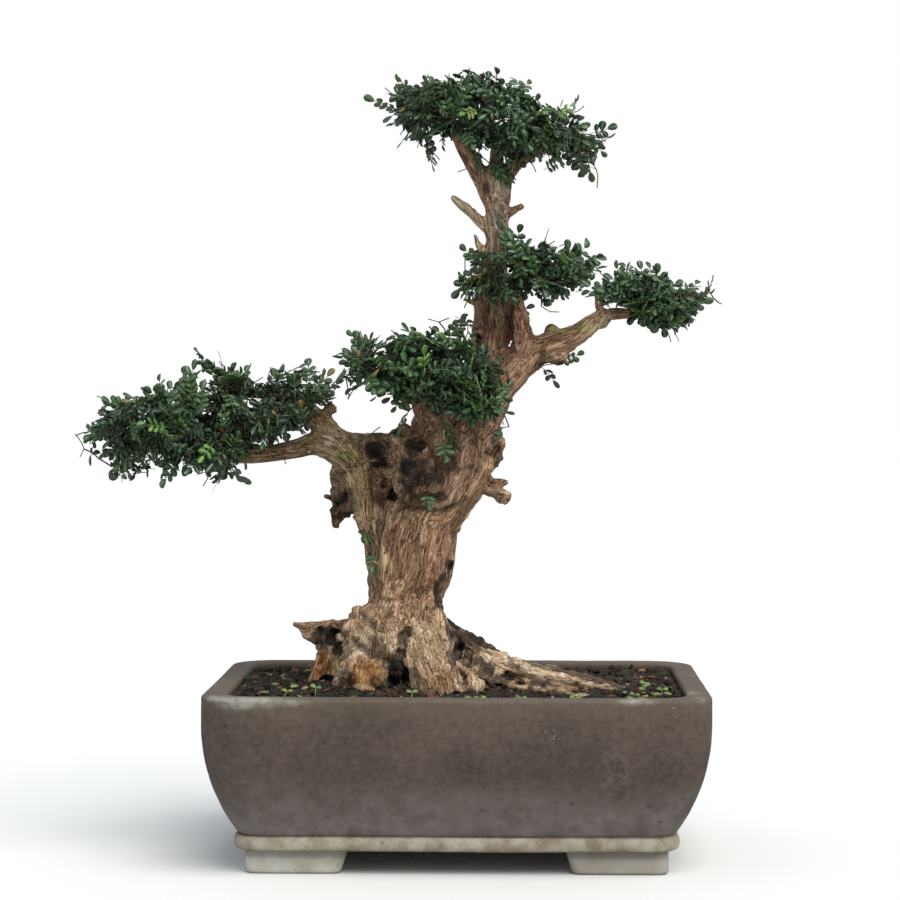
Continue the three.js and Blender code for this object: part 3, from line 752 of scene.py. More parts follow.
# Wood: the middle line and radius of every limb, x y z r
limbs = {
    "trunk": [
        (-66, -8, 148, 64), (-66, -8, 190, 66), (-63, -4, 220, 54), (-61, 0, 240, 42),
        (-61, 4, 256, 37), (-59, 4, 270, 38), (-51, 2, 304, 45.5), (-44, 0, 346, 44), (-29, 0, 378, 48),
        (-15, 0, 410, 51), (-3, 2, 441, 43), (18, 5, 473, 33), (28, 5, 504, 24), (30, 6, 536, 18.5),
        (32, 8, 578, 17), (35, 8, 610, 15), (40, 8, 641, 12), (40, 8, 668, 12), (40, 8, 689, 15),
        (38, 8, 704, 15),
    ],
    "secondStem": [
        (-78, -6, 300, 14), (-86, -7, 325, 15), (-95, -8, 352, 15), (-100, -8, 378, 15),
        (-106, -6, 400, 18), (-112, -5, 416, 19),
    ],
    "leftBranch": [
        (-40, -5, 410, 30), (-62, -5, 414, 26), (-88, -5, 418, 21), (-112, -5, 420, 18),
        (-130, -5, 424, 18), (-148, -8, 428, 14), (-166, -12, 423, 11), (-197, -20, 417, 9),
        (-223, -28, 414, 7.5), (-253, -34, 416, 6), (-289, -38, 421, 4.5), (-331, -38, 426, 3),
    ],
    "leftUpper": [
        (-128, -2, 428, 14), (-137, -1, 438, 14), (-149, 4, 452, 12.5), (-165, 10, 464, 9.5),
        (-180, 14, 474, 7.5), (-209, 18, 480, 6), (-244, 20, 478, 4.5), (-285, 14, 470, 3.5),
        (-316, 5, 458, 3),
    ],
    "rightBranch": [
        (22, 5, 470, 24), (38, 5, 488, 23), (59, 0, 508, 20), (80, 0, 524, 16), (101, 2, 532, 14),
        (122, 4, 540, 12), (143, 6, 556, 9), (161, 8, 564, 7), (180, 8, 563, 5.5), (208, 8, 567, 4.5),
        (237, 8, 573, 3),
    ],
    "middleBranch": [
        (72, -2, 515, 13), (68, -6, 530, 11.5), (64, -10, 551, 10.5), (59, -14, 572, 9.5),
        (59, -18, 591, 7.5), (74, -22, 605, 5), (100, -24, 609, 3.5), (121, -22, 603, 2.5),
    ],
    "middleSide": [(59, -18, 593, 6.5), (38, -30, 608, 4), (17, -34, 599, 3)],
    "frontBranch": [
        (-12, -15, 425, 18), (-21, -27, 439, 14), (-36, -40, 457, 10), (-41, -50, 478, 7.5),
        (-30, -58, 500, 5.5), (-6, -60, 512, 4),
    ],
    "frontSide": [(-41, -50, 475, 6), (-65, -62, 492, 4), (-88, -60, 506, 3)],
    "apexLeft": [
        (34, 8, 690, 12), (26, 8, 702, 11), (15, 4, 720, 9.5), (3, 0, 741, 8), (-7, -4, 760, 6),
        (-20, -8, 776, 4),
    ],
    "apexRight": [
        (40, 8, 694, 12), (46, 8, 706, 10.5), (57, 10, 718, 7.5), (70, 12, 727, 5.5), (90, 14, 738, 4),
        (115, 12, 745, 3.5), (138, 10, 738, 2.5),
    ],
    "apexMiddle": [
        (38, 10, 695, 11), (38, 13, 714, 9), (39, 16, 738, 6.5), (34, 18, 765, 4.5), (22, 16, 795, 3),
    ],
    "apexBack": [(40, 16, 737, 5.5), (59, 20, 763, 3.5), (80, 22, 782, 2.5)],
    "deadStubRight": [(10, 0, 390, 16), (26, 0, 383, 9.5), (37, -2, 384, 7.5), (47, -2, 389, 4.5)],
    "deadForkRight": [(28, -2, 380, 8), (40, -3, 375, 6.5), (49, -4, 371, 5.5)],
    "deadStubLeft": [
        (36, 8, 648, 8), (28, 7, 655, 6), (14, 4, 668, 5.4), (2, 0, 678, 5), (-5.5, -2, 684.5, 3.6),
    ],
    "deadStubTop": [(44, 7, 667, 8), (52, 6, 669, 5), (59, 5, 673, 4), (65, 4, 676, 3.3)],
    "deadStubLow": [(34, 6, 616, 7), (27, 4, 626, 5), (21, 2, 635, 4), (16, 0, 645, 2.5)],
    "brokenLedge": [(30, 0, 568, 9), (16, -4, 575, 4.5), (6, -6, 578, 2.2)],
    "uprightStub": [(150, 8, 555, 7), (148, 8, 568, 5), (145, 8, 581, 4)],
    "cutWoundStub": [(-40, -10, 415, 20), (-44, -35, 420, 16), (-45, -64, 422, 14)],
    "brokenTop": [(12, 4, 408, 20), (26, 2, 420, 13), (34, 0, 430, 8), (41, -2, 438, 3.6)],
    "brokenEdge": [(24, -14, 400, 10), (34, -16, 410, 7.5), (42, -14, 424, 4.5), (44, -12, 430, 3)],
    "brokenSpur": [(30, -10, 400, 7), (38, -14, 406, 3.5), (45, -16, 411, 1.8)],
    "brokenPeg": [(-76, -27, 400, 3.6), (-66, -33, 391, 3.4), (-57, -40, 381, 2.8)],
    "splinter": [(-139, -40, 188, 3.2), (-131, -38, 208, 2.8)],
    "burlTipUpper": [(-122, 6, 366, 9), (-132, 8, 369, 5), (-141, 8, 371, 3)],
    "burlTipLower": [(-124, 6, 358, 9), (-129, 8, 349, 6), (-131, 8, 342, 4)],
    "rootFront": [
        (-45, -5, 262, 20), (-36, -20, 240, 24), (-30, -48, 212, 25), (-23, -72, 190, 26),
        (-17, -92, 165, 26), (-15, -100, 140, 22),
    ],
    "rootRight": [
        (-48, 15, 252, 17), (-31, 20, 234, 17), (-8, 25, 219, 17), (22, 25, 200, 16), (48, 22, 187, 15),
        (75, 15, 180, 13), (106, 5, 178, 12), (137, -10, 175, 9), (163, -20, 171, 6.5),
        (186, -30, 167, 4.5),
    ],
    "rootRightFront": [
        (-30, -5, 225, 18), (-8, -12, 205, 17), (17, -30, 188, 15), (43, -48, 177, 12),
        (74, -62, 170, 10), (100, -70, 162, 7),
    ],
    "rootRightMiddle": [
        (-6, -10, 214, 15), (22, -18, 197, 16), (54, -26, 186, 14), (90, -32, 178, 12),
        (126, -38, 174, 10), (158, -42, 170, 8), (184, -46, 165, 6),
    ],
    "rootRightLow": [(30, -50, 178, 10), (60, -64, 175, 9), (96, -84, 173, 8), (132, -94, 168, 8)],
    "rootLobe": [(-72, -10, 250, 20), (-79, -24, 236, 22), (-84, -38, 218, 23), (-88, -45, 195, 22)],
    "rootLobeSmall": [(-58, -30, 244, 13), (-66, -52, 224, 17), (-60, -66, 206, 14)],
    "rootLeft": [
        (-84, 2, 240, 17), (-98, 0, 228, 19), (-114, -10, 220, 21), (-120, -20, 190, 20),
        (-124, -26, 150, 20),
    ],
    "rootLeftStrip": [
        (-120, -12, 228, 12), (-138, -16, 216, 9), (-142, -22, 198, 9.5), (-150, -28, 170, 10),
        (-158, -32, 145, 9),
    ],
    "deadPeg": [
        (-108, -5, 226, 15), (-122, -6, 230, 14), (-140, -8, 232, 11), (-156, -8, 233, 8),
        (-172, -8, 238, 3.5),
    ],
    "rootBackLeft": [(-80, 22, 236, 20), (-98, 34, 210, 22), (-130, 70, 184, 18), (-165, 105, 164, 11)],
    "rootBackRight": [(-48, 25, 245, 22), (-32, 42, 215, 21), (8, 85, 183, 16), (48, 118, 164, 10)],
}

# burls and knobs, as x y z and half sizes
knobs = [
    (-120, -5, 393, 17, 13, 16), (-120, 5, 368, 13, 12, 14), (-130, 8, 353, 8, 8, 8),
    (-126, -2, 376, 8, 7, 7), (-38, -36, 398, 30, 24, 27), (-62, -34, 432, 16, 14, 12),
    (-9, 0, 301, 6, 7, 8), (-13, 0, 288, 5, 6, 6), (-104, -18, 250, 9, 10, 8), (-136, -2, 464, 7, 7, 7),
    (104, -2, 517, 10, 9, 9), (97, 2, 545, 6, 6, 6), (45, -5, 672, 6, 6, 6),
    (-99, -66, 190, 21, 19, 20), (-119, -50, 176, 17, 15, 12), (16, -88, 181, 12, 10, 11),
    (85, -88, 180, 11, 9, 9), (104, -90, 176, 9, 7, 6), (-88, -30, 421, 13, 12, 13),
    (-80, 8, 386, 17, 10, 32), (52, 10, 552, 5, 6, 22), (-34, -48, 392, 26, 22, 24),
    (-99, -74, 180, 15, 14, 14), (-84, -70, 190, 11, 12, 12), (-112, -66, 178, 10, 10, 9),
    (-92, -80, 172, 10, 9, 8), (-110, -56, 192, 9, 9, 9),
]

# strands of old wood along the bark: radius in mm, look, and the pixels that each passes
strands = [
    (5.0, "pale", (458, 650), (478, 660), (500, 668), (530, 674), (565, 680), (600, 688)),
    (4.5, "orange", (462, 672), (485, 680), (510, 686), (535, 692)),
    (4.0, "pale", (470, 645), (492, 655), (515, 662), (545, 671)),
    (4.0, "orange", (505, 680), (530, 684), (560, 688), (590, 692)),
    (4.0, "pale", (343, 622), (349, 640), (352, 655)),
    (2.6, "darkAndPaintedShade", (324, 655), (329, 640), (327, 628)),
    (2.8, "orange", (318, 655), (313, 672), (306, 688)),
    (5.0, "pale", (360, 622), (372, 634), (388, 646), (396, 656)),
    (5.0, "orange", (416, 660), (424, 678), (436, 692)),
    (3.0, "red", (398, 655), (394, 672), (398, 690)),
    (3.4, "olive", (362, 476), (362, 500), (366, 530), (368, 570)),
    (3.0, "olive", (371, 474), (372, 498), (374, 525)),
    (3.0, "olive", (380, 474), (380, 500), (379, 520)),
    (3.6, "olive", (404, 500), (394, 520), (386, 545), (383, 580)),
    (3.2, "plain", (425, 520), (412, 545), (405, 575), (404, 605)),
]

# knobs on the bark, by the pixel where each shows, with half sizes across, inwards and up
buds = [
    (477, 689, 11, 9, 7.5), (539, 689, 8.5, 8, 7.5), (559, 693, 8, 6, 5), (520, 668, 9, 6, 5),
    (347, 665, 7, 6, 5.5), (366, 664, 9, 7, 7), (377, 676, 8, 8, 7), (354, 684, 8, 6, 7),
    (360, 695, 9, 6, 5), (467, 648, 6, 6, 5), (497, 657, 9, 6, 4), (585, 686, 9, 5, 4),
    (440, 641, 9, 4, 10), (462, 636, 7, 6, 5), (382, 640, 10, 6, 9), (352, 628, 9, 5, 8),
    (338, 477, 9, 7, 9), (425, 610, 12, 5, 12), (551, 328, 6, 6, 5), (484, 190, 5, 4, 6),
    (501, 208, 6, 4, 8), (348, 447, 7, 5, 5), (360, 455, 6, 5, 5), (396, 436, 8, 8, 9),
    (406, 430, 7, 8, 8), (366, 443, 6, 6, 4), (384, 438, 6, 5, 5), (430, 432, 8, 6, 6),
    (494, 440, 5, 6, 8), (502, 448, 4, 6, 7), (497, 458, 6, 6, 6), (488, 470, 6, 6, 8),
]

# holes in the wood, by the pixel where each shows, with half sizes across, inwards and up
hollows = [
    (416, 437, 13, 19, 15), (376, 450, 13, 13, 9.5), (380, 465, 11, 10, 5), (392, 495, 7, 17, 8),
    (319, 633, 5, 10, 5.5), (333, 637, 6.5, 12, 8), (338, 649, 5.5, 10, 8), (408, 634, 3.6, 11, 6),
    (405, 643, 3.2, 11, 7), (401, 655, 3, 9, 8), (397, 677, 11, 22, 16), (325, 687, 6, 12, 9),
    (348, 685, 6.5, 9, 7), (505, 676, 6, 7, 3.5), (487, 668, 6, 8, 4), (522, 684, 6, 7, 3),
    (468, 657, 4.5, 9, 9), (459, 645, 3.5, 12, 13), (501, 691, 8, 9, 4), (478, 660, 4, 6, 3),
    (553, 684, 6, 6, 2.5), (478, 338, 3.5, 6, 4), (392, 429, 6, 5, 3), (340, 502, 5, 7, 4),
    (452, 568, 4, 8, 6), (499, 462, 4, 6, 3),
]

# looks and roughness (gnarl) of the limbs that differ from the trunk's plain bark
limbLooks = {
    "pale": {
        "deadStubRight": 0.3, "deadForkRight": 0.3, "brokenLedge": 0.6, "deadStubLeft": 0.85,
        "deadStubTop": 0.7, "deadStubLow": 0.35, "uprightStub": 0.2, "brokenPeg": 1.0, "splinter": 1.0,
        "rootFront": 0.35, "rootRightFront": 0.25, "rootLobe": 0.5, "rootLobeSmall": 0.5,
        "rootRightMiddle": 0.4, "rootRightLow": 0.6, "rootLeft": 0.35, "deadPeg": 0.2,
        "rootBackLeft": 0.3, "rootBackRight": 0.3,
    },
    "red": {
        "rightBranch": 0.25, "middleBranch": 1.0, "middleSide": 0.6, "frontBranch": 0.3,
        "frontSide": 0.3, "apexLeft": 0.45, "apexRight": 0.45, "apexMiddle": 0.4, "apexBack": 0.4,
        "brokenTop": 0.5, "brokenEdge": 0.4,
    },
    "orange": {
        "brokenPeg": 0.3, "rootFront": 0.2, "rootRightFront": 0.2, "rootLeft": 0.3,
        "rootLeftStrip": 0.9, "deadPeg": 0.3,
    },
    "olive": {"secondStem": 0.55, "leftBranch": 0.8, "leftUpper": 0.6},
    "darkAndPaintedShade": {
        "deadStubRight": 0.2, "deadForkRight": 0.2, "brokenSpur": 0.5, "burlTipUpper": 0.75,
        "burlTipLower": 0.75, "rootRight": 0.85,
    },
    "lichen": {},
    "gnarl": {
        "middleBranch": 0.3, "deadStubRight": 1.8, "deadForkRight": 1.8, "brokenSpur": 1.0,
        "uprightStub": 0.5, "brokenTop": 0.8, "brokenEdge": 2.2, "burlTipUpper": 2.2,
        "burlTipLower": 2.2, "rootFront": 0.5, "rootRight": 0.9, "rootRightFront": 1.7, "rootLobe": 0.4,
        "rootLobeSmall": 0.6, "rootRightMiddle": 2.0, "rootRightLow": 1.8, "rootLeft": 0.6,
        "rootLeftStrip": 0.4, "deadPeg": 1.0, "rootBackLeft": 0.7, "rootBackRight": 0.7,
    },
}

wood = {
    "pathStep": 9,
    "firstVoxel": 3.0,
    "voxel": 2.24,
    "sides": 12,
    "endShare": 0.6,  # radius and length of a limb's last cap, as shares of its radius
    "near": 34,  # limbs further than this from a point don't count there
    "blendShare": 0.5,  # width of the blend where limbs meet, as a share of the limb's radius
    "widestBlend": 10,
    "knobBlend": 5,
    "hollowBlend": 3,
    "front": -190,  # depths between which the wood is looked for along a pixel's line
    "back": 130,
    "steps": 260,  # steps along that line
    "looksBlend": 7,
    "strandLook": 0.8,
    "ridgeSunk": 0.3,  # how deep strands, buds and hollows sit, as shares of their size
    "budSunk": 0.35,
    "hollowSunk": 0.1,
    "raggedness": 2.2,  # how far a hole's edge wanders
    "raggedSize": 7,
}

limbPaths = {name: smoothPath(points, wood["pathStep"]) for name, points in limbs.items()}


def limbReach(points, path):
    # for each point its distance to the limb's skin, the limb's direction and its radius there
    best = np.full(len(points), 1e4)
    heading = np.zeros((len(points), 3))
    radius = np.zeros(len(points))
    for start, end in zip(path, path[1:]):
        span = (end - start)[:3]
        share = np.clip((points - start[:3]) @ span / (span @ span), 0, 1)
        local = start[3] + share * (end[3] - start[3])
        distance = np.linalg.norm(points - start[:3] - share[:, None] * span, axis=1) - local
        closer = distance < best
        best[closer] = distance[closer]
        heading[closer] = unit(span)
        radius[closer] = local[closer]
    return best, heading, radius


def ballReach(points, ball):
    centre, halves = np.array(ball[:3]), np.array(ball[3:])
    scaled = np.linalg.norm((points - centre) / halves, axis=1)
    steep = np.linalg.norm((points - centre) / halves**2, axis=1)
    return scaled * (scaled - 1) / np.maximum(steep, 1e-6)


def blended(first, second, width):
    overlap = np.maximum(width - np.abs(first - second), 0) / width
    return np.minimum(first, second) - overlap**2 * width / 4


def limbsNear(points):
    # each limb near some of the points, those points, and their distance, direction and radius
    for name, path in limbPaths.items():
        low = (path[:, :3] - path[:, 3:]).min(axis=0) - wood["near"]
        high = (path[:, :3] + path[:, 3:]).max(axis=0) + wood["near"]
        close = np.flatnonzero(((points > low) & (points < high)).all(axis=1))
        if len(close):
            yield name, path, close, *limbReach(points[close], path)


def measureWood(points):
    # distance of each point to the wood's skin
    skin = np.full(len(points), 1e4)
    for _, path, close, distance, _, _ in limbsNear(points):
        width = max(2.0, min(wood["widestBlend"], wood["blendShare"] * path[:, 3].max()))
        skin[close] = blended(skin[close], distance, width)
    for knob in raised:
        skin = blended(skin, ballReach(points, knob), wood["knobBlend"])
    ragged = wood["raggedness"] * noise(points, wood["raggedSize"], 13)
    for hollow in carved:
        skin = -blended(-skin, ballReach(points, hollow) + ragged, wood["hollowBlend"])
    return skin


def measureLooks(points):
    # the grain, the thickness and the looks of the wood at each point
    weights = np.zeros(len(points))
    tensor = np.zeros((len(points), 3, 3))
    thick = np.zeros(len(points))
    mixed = {look: np.zeros(len(points)) for look in limbLooks}
    for name, _, close, distance, heading, radius in limbsNear(points):
        weight = np.exp(-np.maximum(distance, -6) / wood["looksBlend"]) * np.minimum(radius, 20)
        weights[close] += weight
        thick[close] += weight * radius
        tensor[close] += weight[:, None, None] * heading[:, :, None] * heading[:, None, :]
        for look, amounts in limbLooks.items():
            mixed[look][close] += weight * amounts.get(name, 0)
    weights = np.maximum(weights, 1e-9)
    mixed = {look: amount / weights for look, amount in mixed.items()}
    return tensor / weights[:, None, None], thick / weights, mixed


def showingAt(u, v):
    # the place on the smooth wood that shows at pixel u, v
    first, last = placeAt(u, v, wood["front"]), placeAt(u, v, wood["back"])
    line = first + (last - first) * np.linspace(0, 1, wood["steps"])[:, None]
    depths = measureWood(line)
    inside = np.flatnonzero(depths < 0)
    return line[inside[0] if len(inside) else np.argmin(depths)]


def ridgesAt(table):
    # thin limbs laid on the smooth wood along lines of pixels
    made = []
    for radius, look, *line in table:
        places = [showingAt(u, v) + np.array([0, wood["ridgeSunk"] * radius, 0]) for u, v in line]
        radii = [0.5 * radius, *[radius] * (len(places) - 2), 0.4 * radius]
        made.append((smoothPath(np.column_stack([places, radii]), wood["pathStep"]), look))
    return made


def ballsAt(table, sunk):
    # balls by pixel, with their middles in the wood by a share of their depth
    return [
        (*(showingAt(u, v) + np.array([0, sunk * halves[1], 0])), *halves)
        for u, v, *halves in table
    ]


# strands lie on the limbs and knobs, buds on all of those, and hollows are cut in last
raised = list(knobs)
carved = []
for index, (path, look) in enumerate(ridgesAt(strands)):
    name = "strand" + str(index)
    limbPaths[name] = path
    limbLooks["gnarl"][name] = wood["strandLook"]
    if look in limbLooks:
        limbLooks[look][name] = wood["strandLook"]
raised += ballsAt(buds, wood["budSunk"])
carved += ballsAt(hollows, wood["hollowSunk"])


def remeshed(points, faces, voxel):
    # the outer skin of overlapping closed shapes as one even mesh of four-sided faces
    mesh = bpy.data.meshes.new("voxels")
    fillMesh(mesh, points, [faces])
    holder = bpy.data.objects.new("voxels", mesh)
    bpy.context.scene.collection.objects.link(holder)
    modifier = holder.modifiers.new("voxels", "REMESH")
    modifier.mode = "VOXEL"
    modifier.voxel_size = voxel
    made = holder.evaluated_get(bpy.context.evaluated_depsgraph_get()).to_mesh()
    newPoints = np.empty(len(made.vertices) * 3)
    made.vertices.foreach_get("co", newPoints)
    newFaces = np.empty(len(made.loops), np.int32)
    made.loops.foreach_get("vertex_index", newFaces)
    bpy.data.objects.remove(holder)
    bpy.data.meshes.remove(mesh)
    return newPoints.reshape(-1, 3), newFaces.reshape(-1, 4)


def seated(points, faces, rounds):
    # points moved on to the blended skin
    for _ in range(rounds):
        normals = surfaceNormals(points, faces)
        points = points - normals * np.clip(measureWood(points), -4, 4)[:, None]
    return points


def makeWoodSkin():
    tubes = []
    share = wood["endShare"]
    for path in limbPaths.values():
        line, radii = path[:, :3], path[:, 3]
        before = line[:1] - unit(line[1:2] - line[:1]) * radii[0] * share
        after = line[-1:] + unit(line[-1:] - line[-2:-1]) * radii[-1] * share
        radii = np.concatenate([radii[:1] * share, radii, radii[-1:] * share])
        tubes.append(tube(np.vstack([before, line, after]), radii, wood["sides"]))
    points, faces = remeshed(*gathered(tubes), wood["firstVoxel"])
    points = seated(points, faces, 4)
    points, faces = remeshed(points, faces, wood["voxel"])
    return seated(points, faces, 2), faces


woodPoints, woodFaces = makeWoodSkin()
print("wood skin", len(woodFaces) * 2, "triangles")


def surfaceAt(u, v):
    # the nearest bit of bark to the camera that shows at pixel u, v
    offset = np.hypot(*(woodPixels - np.array([u, v])).T)
    reach = max(2.5, offset.min() + 0.5)
    near = np.flatnonzero(offset < reach)
    return near[np.argmin(woodPoints[near, 1])]


woodPixels = pixelsOf(woodPoints)
woodNormals = surfaceNormals(woodPoints, woodFaces)

# wounds on the bark: the pixel, then radius, height of the rim and swelling in mm
wounds = [
    (416, 444, 14, 2.8, 0), (377, 452, 13, 2.4, 0), (378, 466, 12, 1.6, 0), (500, 212, 4.5, 1.5, 0.4),
    (478, 337, 4.5, 1.4, 0), (333, 640, 10, 1.4, 0), (348, 685, 8, 1.4, 0), (336, 412, 3, 0.6, 3),
]

# creases: width and depth in mm, and the pixels that each passes
creases = [
    (3.6, 3.6, (397, 498), (408, 506), (420, 509), (440, 512), (458, 509)),
    (3.2, 3.0, (402, 466), (398, 480), (401, 496)),
    (3.0, 2.8, (455, 438), (454, 455), (458, 475)),
    (2.6, 1.6, (436, 462), (455, 470), (470, 468), (482, 474)),
    (3.0, 3.2, (509, 306), (508, 325), (511, 348)),
    (3.4, 2.4, (386, 510), (380, 530), (375, 552), (373, 580)),
    (3.0, 2.2, (372, 470), (376, 490), (383, 508)),
    (3.5, 3.6, (352, 640), (366, 652), (383, 660), (395, 664)),
    (3.8, 3.4, (451, 628), (455, 650), (462, 672), (470, 694)),
    (4.5, 5.0, (404, 635), (400, 655), (396, 680)),
    (2.6, 1.8, (360, 612), (372, 622), (380, 640)),
    (3.2, 2.6, (490, 640), (515, 668), (545, 684)),
    (3.2, 2.6, (337, 620), (345, 640), (344, 665), (338, 690)),
    (2.0, 1.8, (486, 262), (489, 285), (487, 312)),
    (2.0, 1.6, (497, 230), (495, 255), (498, 290), (495, 325)),
    (3.0, 2.4, (378, 432), (395, 434), (404, 430)),
]

# looks of patches of bark: the pixel of each middle, reach along u and v in mm, and strength
stains = {
    # dark bark, and painted shade under the trunk's shoulder and the branches, in creases, by hollows and
    # at the soil line
    "darkAndPaintedShade": [
        (410, 468, 23, 16, 1.0), (430, 478, 24, 15, 0.9), (446, 464, 14, 14, 0.6),
        (404, 488, 18, 14, 0.95), (426, 500, 34, 8, 0.9), (413, 446, 12, 12, 1.0),
        (377, 454, 11, 12, 1.0), (336, 476, 10, 12, 0.5), (583, 342, 40, 8, 0.35),
        (548, 354, 30, 8, 0.3), (596, 293, 6, 12, 0.9), (386, 497, 11, 12, 0.8),
        (470, 634, 30, 15, 1.0), (500, 650, 26, 8, 1.0), (440, 600, 6, 22, 0.9),
        (395, 674, 14, 24, 1.0), (330, 640, 16, 16, 0.9), (340, 505, 18, 18, 0.9),
        (372, 682, 12, 8, 0.4), (550, 366, 16, 5, 0.9), (500, 676, 30, 5, 0.8), (452, 566, 7, 8, 1.0),
        (446, 578, 6, 7, 1.0), (499, 452, 7, 14, 0.9), (535, 681, 26, 4, 0.8), (455, 655, 5, 26, 0.9),
        (500, 211, 4, 7, 0.6), (459, 622, 15, 13, 1.0), (478, 636, 24, 11, 1.0), (497, 648, 24, 8, 1.0),
        (484, 190, 6, 7, 0.7), (508, 325, 5, 18, 0.9), (484, 320, 4, 16, 0.5),
    ],
    "pale": [
        (332, 442, 22, 16, 0.6), (500, 182, 12, 12, 0.8), (440, 645, 15, 16, 1.0),
        (425, 632, 22, 16, 0.8), (362, 632, 24, 18, 0.6), (489, 664, 22, 7, 0.9),
        (570, 682, 40, 7, 0.7), (499, 262, 10, 60, 1.0), (500, 225, 12, 26, 1.0),
        (503, 190, 12, 18, 1.0), (452, 495, 18, 26, 0.2), (477, 689, 10, 7, 1.0), (539, 689, 9, 7, 1.0),
        (347, 665, 7, 5, 0.9),
    ],
    "orange": [
        (470, 690, 9, 8, 0.3), (368, 672, 20, 18, 0.95), (348, 690, 18, 12, 0.8),
        (320, 665, 12, 26, 1.0), (300, 692, 16, 12, 0.8), (440, 682, 20, 14, 0.7),
        (545, 690, 30, 9, 0.5),
    ],
    "red": [
        (455, 475, 26, 30, 0.6), (492, 400, 18, 40, 0.9), (440, 560, 16, 50, 0.5),
        (430, 672, 24, 18, 0.6), (497, 213, 6, 8, 1.0), (494, 330, 20, 26, 0.8), (366, 690, 16, 8, 0.5),
        (518, 335, 14, 34, 1.0),
    ],
    "olive": [
        (585, 325, 34, 10, 0.9), (560, 335, 18, 8, 0.6), (370, 540, 14, 60, 0.55),
        (310, 440, 30, 14, 0.5),
    ],
    "gnarl": [
        (366, 674, 26, 26, 2.4), (325, 640, 26, 20, 1.8), (497, 450, 12, 18, 2.0),
        (418, 482, 26, 22, 1.3), (340, 505, 18, 20, 2.2),
    ],
    "lichen": [
        (343, 454, 8, 5, 1.0), (352, 458, 8, 5, 0.8), (333, 446, 10, 5, 0.5), (565, 326, 9, 4, 0.9),
        (583, 327, 8, 4, 0.8), (551, 328, 5, 5, 0.9), (312, 437, 16, 4, 0.4),
    ],
}


marks = {
    "creaseStep": 5,
    "creaseNear": 90,  # points further than this from a crease's middle are left alone
    "creaseWander": 0.3,
    "creaseWanderSize": 9,
    "banks": 0.35,  # height of a crease's banks, as a share of its depth
    # strength of the shade painted along the bottom of a crease
    "creasePaintedShade": 0.8,
    "stainWander": 0.42,
    "stainWanderSize": 15,
}


def measureMarks(points, normals):
    # how far wounds and creases push the bark in or out, the shade painted into hollows and grooves, and
    # grain that runs round them
    push = np.zeros(len(points))
    paintedShade = np.zeros(len(points))
    turned = np.zeros((len(points), 3, 3))
    for u, v, radius, rim, swelling in wounds:
        index = surfaceAt(u, v)
        facing = unit(normals[index] + np.array([0, -0.5, 0]))
        away = points - points[index]
        depth = away @ facing
        flat = away - depth[:, None] * facing
        ragged = 1 + 0.16 * noise(points, radius * 0.9, 11)
        reach = np.linalg.norm(flat, axis=1) / (radius * ragged)
        near = smoothStep(1.6, 0.9, np.abs(depth) / (radius + 4))
        inside = smoothStep(1.02, 0.55, reach) * near
        edge = np.exp(-(((reach - 1.18) / 0.28) ** 2)) * near
        push += rim * edge + swelling * inside
        around = unit(np.cross(facing, flat))
        weight = 3 * np.exp(-(((reach - 1.1) / 0.6) ** 2)) * near
        turned += weight[:, None, None] * around[:, :, None] * around[:, None, :]
    # painted shade: bark in and round the hollows is darkened, with a ragged edge
    ragged = wood["raggedness"] * (noise(points, wood["raggedSize"], 13) + 0.5 * noise(points, 3.2, 14))
    for hollow in carved:
        paintedShade = np.maximum(paintedShade, smoothStep(2.8, -0.6, ballReach(points, hollow) + ragged))
    for width, depth, *pixels in creases:
        line = smoothPath(points[[surfaceAt(*pixel) for pixel in pixels]], marks["creaseStep"])
        line = np.column_stack([line, np.zeros(len(line))])
        fromMiddle = np.linalg.norm(points - line[:, :3].mean(axis=0), axis=1)
        close = np.flatnonzero(fromMiddle < marks["creaseNear"])
        wander = 1 + marks["creaseWander"] * noise(points[close], marks["creaseWanderSize"], 12)
        distance = limbReach(points[close], line)[0] * wander
        groove = np.exp(-((distance / width) ** 2))
        banks = np.exp(-(((distance - 2 * width) / width) ** 2))
        push[close] -= depth * groove
        push[close] += marks["banks"] * depth * banks
        # painted shade along the bottom of each crease
        paintedShade[close] = np.maximum(paintedShade[close], marks["creasePaintedShade"] * groove)
    return push, paintedShade, turned


def measureStains(points, mixed):
    wander = marks["stainWander"] * layered(points, marks["stainWanderSize"], 21)
    rows = [(look, *spot) for look, spots in stains.items() for spot in spots]
    for look, u, v, reachX, reachZ, strength in rows:
        centre = points[surfaceAt(u, v)]
        away = (points - centre) / np.array([reachX, (reachX + reachZ) * 0.7, reachZ])
        ragged = np.linalg.norm(away, axis=1) + wander
        mixed[look] = np.maximum(mixed[look], strength * smoothStep(1.15, 0.55, ragged))
    return mixed


bark = {
    "wobble": 0.22,  # how far the grain wanders, and the size of its bends
    "wobbleSize": 26,
    "grain": ((26, 70, 1), (10, 44, 2), (6.2, 34, 3)),  # width, reach and seed: muscle, coarse, ridge
    "muscle": 1.3,
    "coarse": 1.2,
    "ridge": 0.6,
    "crack": 1.4,
    "crackWidth": 0.36,
    "fineCrack": 1.0,
    "fineCrackWidth": 0.5,
    "upperCrack": 1.1,
    "upper": ((480, 540), (730, 690)),  # heights between which the upper trunk is cracked deeper
    "sink": 0.8,
    "lump": 3.0,
    "knob": 2.2,
    "ragged": 2.6,
    "base": (256, 222),  # heights where the pale, lumpy base starts and where it is whole
    "basePale": 0.62,
    "baseGnarl": 0.7,
    # heights between which the bark turns darker towards the soil
    "darkerNearSoil": (186, 168),
}


